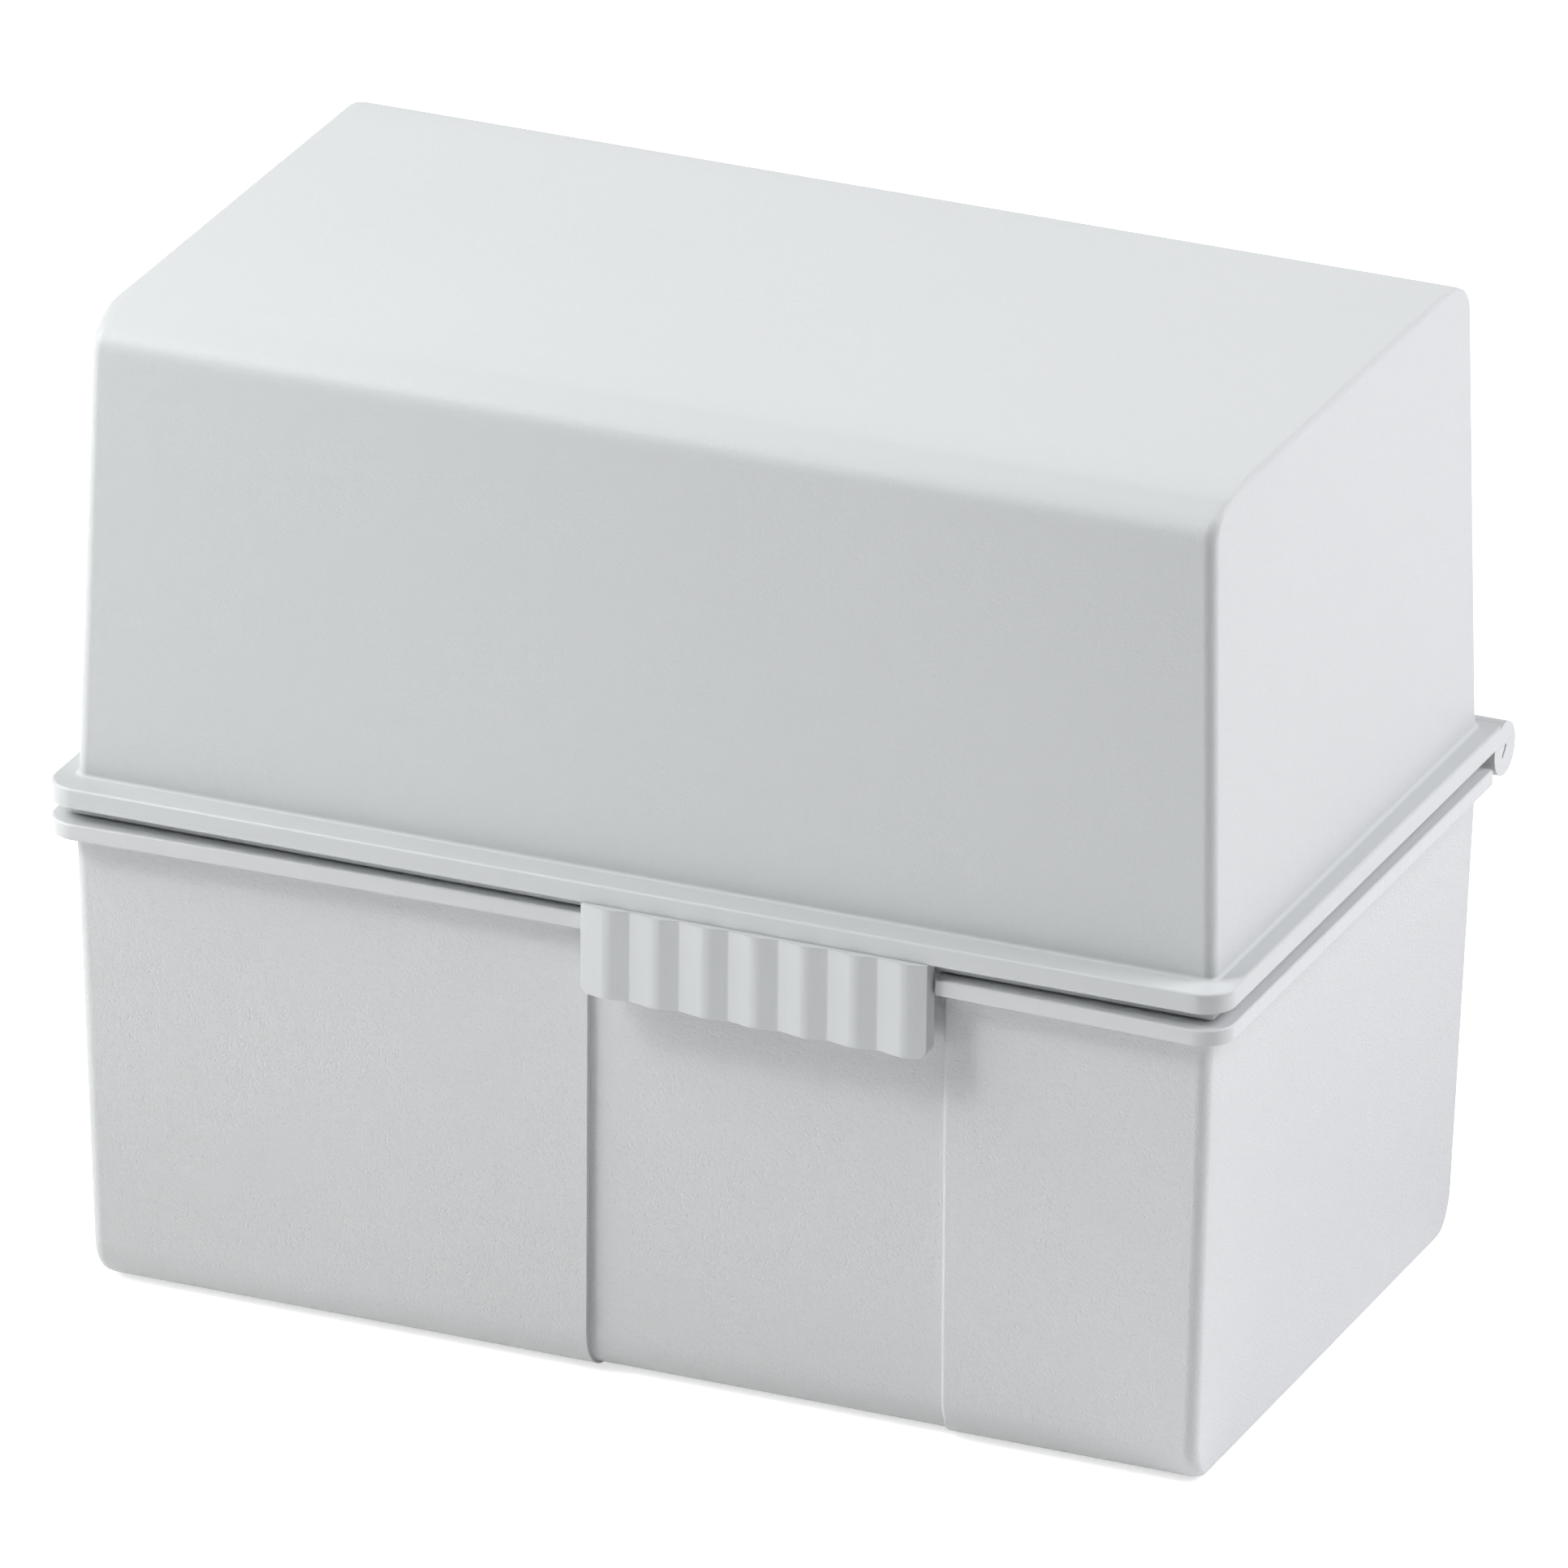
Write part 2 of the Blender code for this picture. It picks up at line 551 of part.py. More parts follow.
def lid_hinge(lid):
    """Clear the lid's rear wall for the tub's barrels and add the lid's own."""
    lid_zones, tub_zones = barrel_zones()
    reach = BARREL_RADIUS + BARREL_CLEARANCE
    for low, high in tub_zones:
        cut = box("clear", (low - BARREL_GAP, PIVOT_Y - reach, LIP_BOTTOM - OVERRUN),
                  (high + BARREL_GAP, PIVOT_Y + OVERRUN, PIVOT_HEIGHT + reach))
        combine(lid, cut, "DIFFERENCE")
    wall_in = FRONT_Y + TUB_RIM_DEPTH - LID_BACK_INSET - LID_WALL / 2
    for low, high in lid_zones:
        combine(lid, round_bar("barrel", BARREL_RADIUS, low, high), "UNION")
        outline = (
            (wall_in, PIVOT_HEIGHT),
            (PIVOT_Y, PIVOT_HEIGHT),
            (PIVOT_Y, LID_RIM_TOP),
            (wall_in, LID_RIM_TOP),
        )
        combine(lid, prism("web", outline, "X", low + WEB_END_STEP, high - WEB_END_STEP), "UNION")
    for low, high in lid_zones:
        inner_low = low + PIN_END_COVER if low <= -HALF_WIDTH else low - BARREL_GAP
        inner_high = high - PIN_END_COVER if high >= HALF_WIDTH else high + BARREL_GAP
        combine(lid, round_bar("bore", BORE_RADIUS, inner_low, inner_high), "DIFFERENCE")
    for side in (-1, 1):
        ends = sorted((side * (HALF_WIDTH - STAKE_DEPTH), side * (HALF_WIDTH + OVERRUN)))
        combine(lid, round_bar("stake", STAKE_RADIUS, ends[0], ends[1]), "DIFFERENCE")


def build_pin():
    """Steel wire through all the barrels, its ends closed in by the lid's outer barrels."""
    half = HALF_WIDTH - PIN_END_COVER - BARREL_GAP
    return round_bar("hinge_pin", PIN_RADIUS, -half, half)


def build_plate():
    """Card support: one bent sheet with a foot behind it and a grip cut in its top edge."""
    face_y = FRONT_Y + TUB_RIM_DEPTH - TUB_BACK_INSET - TUB_DRAFT - TUB_WALL
    face_y -= PLATE_BACK_GAP + PLATE_FOOT
    low = FLOOR_THICK + PLATE_LIFT
    top = low + PLATE_HEIGHT
    outer = PLATE_BEND + PLATE_SHEET
    outline = [(face_y, top)]
    for step in range(FILLET_STEPS + 1):
        angle = 2 * QUARTER_TURN + QUARTER_TURN * step / FILLET_STEPS
        outline.append((face_y + outer + outer * math.cos(angle), low + outer + outer * math.sin(angle)))
    outline.append((face_y + PLATE_FOOT, low))
    outline.append((face_y + PLATE_FOOT, low + PLATE_SHEET))
    for step in range(FILLET_STEPS + 1):
        angle = 3 * QUARTER_TURN - QUARTER_TURN * step / FILLET_STEPS
        outline.append((face_y + outer + PLATE_BEND * math.cos(angle),
                        low + outer + PLATE_BEND * math.sin(angle)))
    outline.append((face_y + PLATE_SHEET, top))
    half = PLATE_WIDTH / 2
    plate = prism("card_support", outline, "X", -half, half)
    front_view = []
    corners = ((half - PLATE_CORNER, 0.0), (-half + PLATE_CORNER, QUARTER_TURN))
    for cx, start in corners:
        for step in range(CORNER_STEPS + 1):
            angle = start + QUARTER_TURN * step / CORNER_STEPS
            front_view.append((cx + PLATE_CORNER * math.cos(angle),
                               top - PLATE_CORNER + PLATE_CORNER * math.sin(angle)))
    front_view.append((-half, low - OVERRUN))
    front_view.append((half, low - OVERRUN))
    shape = prism("shape", front_view, "Y", face_y - OVERRUN, face_y + PLATE_FOOT + OVERRUN)
    combine(plate, shape, "INTERSECT")
    grip = []
    centre_z = top + PLATE_GRIP_RADIUS - PLATE_GRIP_DROP
    for step in range(ROUND_STEPS):
        angle = 4 * QUARTER_TURN * step / ROUND_STEPS
        grip.append((PLATE_GRIP_RADIUS * math.cos(angle), centre_z + PLATE_GRIP_RADIUS * math.sin(angle)))
    combine(plate, prism("grip", grip, "Y", face_y - OVERRUN, face_y + OVERRUN), "DIFFERENCE")
    return plate


def set_origin(obj, place):
    """Move an object's origin to its joint without moving its shape."""
    for vertex in obj.data.vertices:
        vertex.co.x -= place[0]
        vertex.co.y -= place[1]
        vertex.co.z -= place[2]
    obj.location = place


def main():
    """Build the tub, the lid, the pin and the plate."""
    clear_scene()
    shell = make_material("light_grey_plastic", PLASTIC_COLOUR, PLASTIC_ROUGHNESS, 0.0)
    lid_shell = make_material("light_grey_lid_plastic", PLASTIC_COLOUR, PLASTIC_ROUGHNESS, 0.0)
    steel = make_material("hinge_steel", PIN_COLOUR, PIN_ROUGHNESS, 1.0)
    sheet = make_material("zinc_plated_sheet", SHEET_COLOUR, SHEET_ROUGHNESS, 1.0)

    tub = build_tub()
    cut_front(tub)
    add_catch(tub)
    tub_hinge(tub)
    finish(tub, shell)

    lid = build_lid()
    add_latch(lid)
    lid_hinge(lid)
    finish(lid, lid_shell)
    set_origin(lid, (0.0, PIVOT_Y, PIVOT_HEIGHT))

    pin = build_pin()
    finish(pin, steel)

    plate = build_plate()
    finish(plate, sheet)


main()
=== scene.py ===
"""Light grey moulded card box with a tall hinged lid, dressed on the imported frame.

The tub and the lid are modelled again with fine edges over their CAD solids. The hinge pin and
the card support keep their CAD shape and get their metal here. Sizes are in metres.
"""

import math

import bmesh
import bpy
from mathutils import Matrix, Vector


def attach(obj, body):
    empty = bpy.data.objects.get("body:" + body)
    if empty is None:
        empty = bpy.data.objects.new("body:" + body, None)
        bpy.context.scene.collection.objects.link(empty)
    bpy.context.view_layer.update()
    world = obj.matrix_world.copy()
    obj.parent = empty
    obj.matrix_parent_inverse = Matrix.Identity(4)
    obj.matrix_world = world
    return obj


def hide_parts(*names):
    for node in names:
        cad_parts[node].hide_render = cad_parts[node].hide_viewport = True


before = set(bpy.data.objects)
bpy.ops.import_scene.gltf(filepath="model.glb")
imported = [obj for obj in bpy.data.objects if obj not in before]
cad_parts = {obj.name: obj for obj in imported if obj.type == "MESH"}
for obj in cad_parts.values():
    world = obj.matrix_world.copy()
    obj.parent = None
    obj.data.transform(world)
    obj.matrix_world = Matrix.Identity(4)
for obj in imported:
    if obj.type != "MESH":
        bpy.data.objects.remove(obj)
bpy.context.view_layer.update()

# Where the rims' front face lies, and the hinge axis
FRONT = -0.036755
PIVOT_Y = 0.034865
PIVOT_Z = 0.05082

# Rims
HALF_WIDTH = 0.061
RIM_BACK = FRONT + 0.0711
TUB_HEIGHT = 0.0498
TUB_RIM_BOTTOM = 0.0481
LID_RIM_BOTTOM = 0.05145
LID_RIM_TOP = 0.0535
RIM_FRONT_RADIUS = 0.0032
RIM_BACK_RADIUS = 0.0018
LID_RIM_BACK_RADIUS = 0.0007
RIM_EDGE = 0.00025
LID_RIM_LOWER_EDGE = 0.00010
LID_RIM_TOP_EDGE = 0.00032
TUB_RIM_LOWER_EDGE = 0.00020

# Tub
TUB_TOP_HALF = 0.05874
TUB_TOP_FRONT = FRONT + 0.00234
TUB_TOP_BACK = FRONT + 0.0710
TUB_DRAFT = 0.00137
TUB_CORNER = 0.0013
TUB_END_FILLET = 0.0048
TUB_SIDE_FILLET = 0.00135
TUB_WALL = 0.0022
TUB_FLOOR = 0.0022
FRONT_BOW = 0.0011

# Lid
LID_HEIGHT = 0.1009
LID_FOOT_HALF = 0.05876
LID_FOOT_FRONT = FRONT + 0.00317
LID_FOOT_BACK = FRONT + 0.0702
LID_SIDE_DRAFT = 0.00122
LID_END_DRAFT = 0.00100
LID_CORNER = 0.0012
LID_SIDE_EDGE = 0.00067
LID_WALL = 0.0019
LIP_BOTTOM = 0.0501
LIP_HALF = 0.0591
LIP_FRONT = FRONT + 0.00215
LIP_BACK = FRONT + 0.0703

# Small round where the lid's wall stands on its rim: flare and height above the rim
FOOT_FLARE = ((0.00042, 0.0), (0.00024, 0.00006), (0.00010, 0.00018), (0.0, 0.00042))

# Rolled edge of the lid's top at the front and the back: the big round, then a slope that
# fades into the flat top, each point as distance in from the wall and down from the top
ROLL_RADIUS = 0.00287
ROLL_DROP = 0.0040
ROLL_SLOPE = math.radians(24.9)
ROLL_TAIL = (
    (0.00240, 0.00106),
    (0.00320, 0.00069),
    (0.00350, 0.00056),
    (0.00380, 0.00045),
    (0.00425, 0.00034),
    (0.00480, 0.00026),
    (0.00560, 0.00017),
    (0.00660, 0.00009),
    (0.00780, 0.00003),
    (0.00900, 0.00000),
)

# Latch, and the recess behind it
LATCH_LEFT = -0.00455
LATCH_RIGHT = 0.0311
LATCH_BOTTOM = 0.0418
LATCH_TILT = 0.00045
LATCH_THICK = 0.0016
LATCH_STAND = 0.00029
LATCH_CORNER = 0.0010
RIB_COUNT = 7
RIB_HEIGHT = 0.00062
RIB_CREST_SHARE = 0.567
RECESS_LEFT = -0.0054
RECESS_RIGHT = 0.0313
RECESS_DEPTH = 0.0006
NOTCH_LEFT = -0.0050
NOTCH_RIGHT = 0.0313
NOTCH_ROUND = 0.0002
NOTCH_BOW = 0.00105
RECESS_LEFT_ROUND = 0.00025
RECESS_LEFT_ROUND_END = 0.0015
RECESS_RIGHT_ROUND = 0.0005
RECESS_RIGHT_ROUND_END = 0.0024

# Hook behind the latch, and the bar on the recessed panel that it passes
HOOK_LENGTH = 0.020
HOOK_HEIGHT = 0.0012
HOOK_DEPTH = 0.0007
HOOK_RISE = 0.0005
HOOK_TOE = 0.0004
CATCH_ABOVE_HOOK = 0.0006
CATCH_FACE = 0.00072
CATCH_FOOT = 0.0004
CATCH_SHOULDER = 0.0012

# Hinge
BARREL_RADIUS = 0.00272
BORE_RADIUS = 0.00108
LID_END_BARREL = 0.0180
LID_MID_BARREL = 0.0320
BARREL_GAP = 0.0003
CLEARANCE = 0.00038
PIN_END_COVER = 0.0014

PAST = 0.004
PICTURE_SIZE = 1932

# Level of the surroundings as light, and the colour of the plastic, the tub's with painted light
WORLD_LEVEL = 0.0
LID_COLOUR = (0.578, 0.598, 0.600)
# The tub's grey is a few percent lighter than the lid's: painted light from below, which falls more on the tub than
# on the lid
TUB_GREY_WITH_PAINTED_LOW_LIGHT = (0.614, 0.628, 0.632)


def look_only(obj):
    """Make one object the only selected and active one."""
    bpy.ops.object.select_all(action="DESELECT")
    obj.select_set(True)
    bpy.context.view_layer.objects.active = obj


def block(name, low, high):
    """Cube at its real size and place."""
    size = [b - a for a, b in zip(low, high)]
    middle = [(a + b) / 2 for a, b in zip(low, high)]
    bpy.ops.object.select_all(action="DESELECT")
    bpy.ops.mesh.primitive_cube_add(size=1.0, location=middle)
    obj = bpy.context.object
    obj.name = name
    obj.data.name = name
    bpy.ops.transform.resize(value=size)
    bpy.ops.object.transform_apply(location=True, rotation=True, scale=True)
    return obj


def rod(name, radius, low, high, sides=64):
    """Round bar along X on the hinge axis."""
    bpy.ops.object.select_all(action="DESELECT")
    bpy.ops.mesh.primitive_cylinder_add(
        vertices=sides, radius=radius, depth=high - low,
        location=((low + high) / 2, PIVOT_Y, PIVOT_Z), rotation=(0.0, math.pi / 2, 0.0))
    obj = bpy.context.object
    obj.name = name
    obj.data.name = name
    bpy.ops.object.transform_apply(location=True, rotation=True, scale=True)
    return obj


def pick(obj, kind, test):
    """In edit mode, select the vertices, edges or faces that pass the test, and nothing else."""
    bpy.ops.mesh.select_mode(type={"verts": "VERT", "edges": "EDGE", "faces": "FACE"}[kind])
    bpy.ops.mesh.select_all(action="DESELECT")
    mesh = bmesh.from_edit_mesh(obj.data)
    count = 0
    for element in getattr(mesh, kind):
        if test(element):
            element.select_set(True)
            count += 1
    bmesh.update_edit_mesh(obj.data)
    return count


def edge_middle(edge):
    """Middle of an edge."""
    return (edge.verts[0].co + edge.verts[1].co) / 2


def edge_run(edge):
    """Direction of an edge as absolute shares along X, Y and Z."""
    run = (edge.verts[1].co - edge.verts[0].co).normalized()
    return Vector((abs(run.x), abs(run.y), abs(run.z)))


def round_upright_corners(obj, front_radius, back_radius, segments=8):
    """Bevel the four upright edges of a block."""
    look_only(obj)
    bpy.ops.object.mode_set(mode="EDIT")
    middle = sum((v.co.y for v in obj.data.vertices)) / len(obj.data.vertices)
    for radius, front in ((front_radius, True), (back_radius, False)):
        pick(obj, "edges", lambda e: edge_run(e).z > 0.9 and (edge_middle(e).y < middle) == front
             and len(e.link_faces) == 2
             and e.link_faces[0].normal.dot(e.link_faces[1].normal) < 0.2)
        bpy.ops.mesh.bevel(offset=radius, segments=segments, affect="EDGES")
    bpy.ops.object.mode_set(mode="OBJECT")


def round_outline(obj, top, radius, segments=4):
    """Bevel the top or the bottom outline of a block whose upright corners are done."""
    look_only(obj)
    bpy.ops.object.mode_set(mode="EDIT")
    heights = [v.co.z for v in bmesh.from_edit_mesh(obj.data).verts]
    level = max(heights) if top else min(heights)
    pick(obj, "edges", lambda e: abs(edge_middle(e).z - level) < 1e-6 and edge_run(e).z < 0.1)
    bpy.ops.mesh.bevel(offset=radius, segments=segments, affect="EDGES")
    bpy.ops.object.mode_set(mode="OBJECT")


def fit_selected(obj, half, front, back, height):
    """Scale and move the selected ring of vertices to a half width, a front, a back and a height."""
    mesh = bmesh.from_edit_mesh(obj.data)
    spots = [v.co for v in mesh.verts if v.select]
    low = Vector([min(s[i] for s in spots) for i in range(3)])
    high = Vector([max(s[i] for s in spots) for i in range(3)])
    middle = (low + high) / 2
    bpy.ops.transform.resize(
        value=(2 * half / (high.x - low.x), (back - front) / (high.y - low.y), 1.0),
        center_override=middle)
    bpy.ops.transform.translate(
        value=(-middle.x, (front + back) / 2 - middle.y, height - middle.z))


def grow(obj, rings, upwards=True):
    """Extrude the cap of a block ring by ring. A ring gives height, half width, front and back."""
    look_only(obj)
    bpy.ops.object.mode_set(mode="EDIT")
    side = 1.0 if upwards else -1.0
    end = max(side * v.co.z for v in obj.data.vertices)
    pick(obj, "faces", lambda f: f.normal.z * side > 0.9 and side * f.calc_center_median().z > end - 1e-5)
    for height, half, front, back in rings:
        bpy.ops.mesh.extrude_region_move(TRANSFORM_OT_translate={"value": (0.0, 0.0, side * 1e-4)})
        fit_selected(obj, half, front, back, height)
    bpy.ops.object.mode_set(mode="OBJECT")


def reshape_cap(obj, top, half, front, back):
    """Taper a block by fitting its top or bottom outline."""
    look_only(obj)
    bpy.ops.object.mode_set(mode="EDIT")
    heights = [v.co.z for v in bmesh.from_edit_mesh(obj.data).verts]
    level = max(heights) if top else min(heights)
    pick(obj, "verts", lambda v: abs(v.co.z - level) < 1e-6)
    fit_selected(obj, half, front, back, level)
    bpy.ops.object.mode_set(mode="OBJECT")


def slice_across(obj, axis, places):
    """Bisect a piece at each place along an axis, for moves that need more points."""
    look_only(obj)
    bpy.ops.object.mode_set(mode="EDIT")
    for place in places:
        bpy.ops.mesh.select_all(action="SELECT")
        spot = [0.0, 0.0, 0.0]
        spot[axis] = place
        normal = [0.0, 0.0, 0.0]
        normal[axis] = 1.0
        bpy.ops.mesh.bisect(plane_co=spot, plane_no=normal)
    bpy.ops.object.mode_set(mode="OBJECT")


def cut_or_join(obj, tool, operation):
    """Boolean modifier, applied, and the tool removed."""
    look_only(obj)
    modifier = obj.modifiers.new(operation.title(), "BOOLEAN")
    modifier.operation = operation
    modifier.solver = "EXACT"
    modifier.object = tool
    bpy.ops.object.modifier_apply(modifier=modifier.name)
    bpy.data.objects.remove(tool, do_unlink=True)


def tidy_shell(obj, angle):
    """Merge doubles, turn the faces outwards and shade the rounds smooth."""
    look_only(obj)
    bpy.ops.object.mode_set(mode="EDIT")
    bpy.ops.mesh.select_all(action="SELECT")
    bpy.ops.mesh.remove_doubles(threshold=5e-6)
    bpy.ops.mesh.dissolve_degenerate(threshold=1e-6)
    bpy.ops.mesh.normals_make_consistent(inside=False)
    bpy.ops.object.mode_set(mode="OBJECT")
    bpy.ops.object.shade_smooth_by_angle(angle=angle)
    lean = obj.modifiers.new("flat_faces_stay_flat", "WEIGHTED_NORMAL")
    lean.mode = "FACE_AREA"
    lean.keep_sharp = True
    bpy.ops.object.modifier_apply(modifier=lean.name)


def soften_edges(obj, test, radius, segments=3):
    """Bevel the edges that pass a test."""
    look_only(obj)
    bpy.ops.object.mode_set(mode="EDIT")
    if pick(obj, "edges", test):
        bpy.ops.mesh.bevel(offset=radius, segments=segments, affect="EDGES", clamp_overlap=True)
        bpy.ops.mesh.select_all(action="SELECT")
        bpy.ops.mesh.remove_doubles(threshold=1e-6)
    bpy.ops.object.mode_set(mode="OBJECT")


def quarter_steps(radius, count=8):
    """Points of a quarter round as (inset, height above its foot), from foot to wall."""
    points = []
    for step in range(count + 1):
        angle = 0.5 * math.pi * step / count
        points.append((radius * (1 - math.sin(angle)), radius * (1 - math.cos(angle))))
    return points


def inset_at(height, radius):
    """Inset of a quarter round at a height above its foot."""
    if height >= radius:
        return 0.0
    return radius - math.sqrt(max(radius ** 2 - (radius - height) ** 2, 0.0))


def bow_front(obj, split):
    """Draw the front inwards in the middle, more at the rim than at the bottom."""
    slice_across(obj, 0, [0.0085 * k for k in range(-6, 7)])
    for vertex in obj.data.vertices:
        if vertex.co.y < split:
            share = 1.0 - (vertex.co.x / (HALF_WIDTH - RIM_FRONT_RADIUS)) ** 2
            vertex.co.y += FRONT_BOW * max(share, 0.0) * vertex.co.z / TUB_HEIGHT


def barrel_spans():
    """Lengths of hinge barrel on the lid and on the tub."""
    end = HALF_WIDTH - LID_END_BARREL
    mid = LID_MID_BARREL / 2
    lid = ((-HALF_WIDTH, -end), (-mid, mid), (end, HALF_WIDTH))
    tub = ((-end + BARREL_GAP, -mid - BARREL_GAP), (mid + BARREL_GAP, end - BARREL_GAP))
    return lid, tub


def barrel(name, low, high):
    """Hinge barrel with softened ends, except where it is flush with the side of the rim."""
    piece = rod(name, BARREL_RADIUS, low, high)
    soften_edges(piece, lambda e: edge_run(e).x < 0.1 and abs(edge_middle(e).x) < HALF_WIDTH - 1e-5, 0.00018)
    return piece


def stake_tool(side):
    """Tool for the mark on a lid barrel's end where the pin's bore was closed: a short slot."""
    slot = block("stake", (side * HALF_WIDTH - 0.00022, -0.00020, -0.00075),
                 (side * HALF_WIDTH + 0.00022, 0.00020, 0.00075))
    soften_edges(slot, lambda e: edge_run(e).x > 0.9, 0.00018, 4)
    look_only(slot)
    bpy.ops.transform.rotate(value=math.radians(40.0), orient_axis="X", center_override=(0.0, 0.0, 0.0))
    bpy.ops.transform.translate(value=(0.0, PIVOT_Y - 0.0002, PIVOT_Z - 0.0002))
    bpy.ops.object.transform_apply(location=True, rotation=True, scale=True)
    return slot


def roll_profile():
    """Rolled edge from the wall to the flat top as (inset, drop)."""
    points = []
    turn = 0.5 * math.pi - ROLL_SLOPE
    for step in range(11):
        angle = turn * step / 10
        points.append((ROLL_RADIUS * (1 - math.cos(angle)), ROLL_DROP - ROLL_RADIUS * math.sin(angle)))
    return points + list(ROLL_TAIL)


def roll_inset_at(drop):
    """Inset of the rolled edge at a drop below the top."""
    profile = roll_profile()
    for (in_a, drop_a), (in_b, drop_b) in zip(profile, profile[1:]):
        if drop_b <= drop <= drop_a:
            return in_a + (in_b - in_a) * (drop_a - drop) / (drop_a - drop_b)
    return 0.0


def lid_rings(inward, ceiling):
    """Rings of the lid's wall and rolled top, inward of the outer face by the wall or nothing."""
    drops = {drop for _, drop in roll_profile()}
    drops |= {LID_SIDE_EDGE * (1 - math.sin(0.25 * math.pi * k / 2)) for k in range(5)}
    rings = []
    for drop in sorted(drops, reverse=True):
        height = ceiling - drop
        share = (height - LID_RIM_TOP) / (LID_HEIGHT - LID_RIM_TOP)
        side = inset_at(drop, LID_SIDE_EDGE)
        end = roll_inset_at(drop)
        rings.append((
            height,
            LID_FOOT_HALF - LID_SIDE_DRAFT * share - inward - side,
            LID_FOOT_FRONT + LID_END_DRAFT * share + inward + end,
            LID_FOOT_BACK - LID_END_DRAFT * share - inward - end))
    return rings


def make_ribbed_latch():
    """Latch: a tab with rounded lower corners and seven soft ribs across its face."""
    face = FRONT - LATCH_STAND
    latch = block("latch", (LATCH_LEFT, face, LATCH_BOTTOM - 0.0002),
                  (LATCH_RIGHT, FRONT + LATCH_THICK, LID_RIM_BOTTOM + 0.00002))
    pitch = (LATCH_RIGHT - LATCH_LEFT) / RIB_COUNT
    crests = [LATCH_LEFT + pitch * (k + RIB_CREST_SHARE) for k in range(RIB_COUNT)]
    valleys = [LATCH_LEFT + pitch * k for k in range(1, RIB_COUNT)]
    slice_across(latch, 0, sorted(crests + valleys))
    look_only(latch)
    bpy.ops.object.mode_set(mode="EDIT")
    pick(latch, "verts", lambda v: v.co.y < face + 1e-5 and min(abs(v.co.x - c) for c in crests) < 1e-5)
    bpy.ops.transform.translate(value=(0.0, -RIB_HEIGHT, 0.0))
    pick(latch, "edges", lambda e: edge_run(e).z > 0.9 and edge_middle(e).y < face - 1e-5)
    bpy.ops.mesh.bevel(offset=0.0006, segments=6, affect="EDGES")
    pick(latch, "edges", lambda e: edge_run(e).z > 0.9 and abs(edge_middle(e).y - face) < 1e-5
         and min(abs(edge_middle(e).x - c) for c in valleys) < 1e-5)
    bpy.ops.mesh.bevel(offset=0.00015, segments=1, affect="EDGES")
    bpy.ops.object.mode_set(mode="OBJECT")

    outline = block("outline", (LATCH_LEFT, FRONT - PAST, LATCH_BOTTOM), (LATCH_RIGHT, FRONT + PAST, LID_RIM_BOTTOM + PAST))
    for vertex in outline.data.vertices:
        if vertex.co.x < 0.0 and vertex.co.z < LATCH_BOTTOM + 1e-5:
            vertex.co.z += LATCH_TILT
    soften_edges(outline, lambda e: edge_run(e).y > 0.9 and edge_middle(e).z < LATCH_BOTTOM + LATCH_TILT + 1e-5,
                 LATCH_CORNER, 8)
    cut_or_join(latch, outline, "INTERSECT")
    look_only(latch)
    edge_round = latch.modifiers.new("edge_round", "BEVEL")
    edge_round.width = 0.0001
    edge_round.segments = 2
    edge_round.limit_method = "ANGLE"
    edge_round.angle_limit = math.radians(50.0)
    edge_round.use_clamp_overlap = False
    bpy.ops.object.modifier_apply(modifier="edge_round")
    return latch


def add_hook(latch):
    """Hook across the latch's back, with its toe cut away below."""
    middle = (LATCH_LEFT + LATCH_RIGHT) / 2
    back = FRONT + LATCH_THICK
    low = LATCH_BOTTOM + HOOK_RISE
    hook = block("hook", (middle - HOOK_LENGTH / 2, back - 0.0003, low),
                 (middle + HOOK_LENGTH / 2, back + HOOK_DEPTH, low + HOOK_HEIGHT))
    soften_edges(hook, lambda e: edge_run(e).x > 0.9 and edge_middle(e).y > back
                 and edge_middle(e).z < low + 1e-5, HOOK_TOE, 1)
    cut_or_join(latch, hook, "UNION")


def add_catch(tub):
    """Bar on the recessed panel, sloped above and below, that the hook passes."""
    middle = (LATCH_LEFT + LATCH_RIGHT) / 2
    low = LATCH_BOTTOM + HOOK_RISE + HOOK_HEIGHT + CATCH_ABOVE_HOOK
    face = FRONT + LATCH_THICK + HOOK_DEPTH + CLEARANCE
    bar = block("catch", (middle - HOOK_LENGTH / 2, face, low), (middle + HOOK_LENGTH / 2, face + 0.0018, low + CATCH_FACE))
    for vertex in bar.data.vertices:
        if vertex.co.y > face + 0.0001:
            vertex.co.z += CATCH_SHOULDER if vertex.co.z > low + 0.0001 else -CATCH_FOOT
    cut_or_join(tub, bar, "UNION")


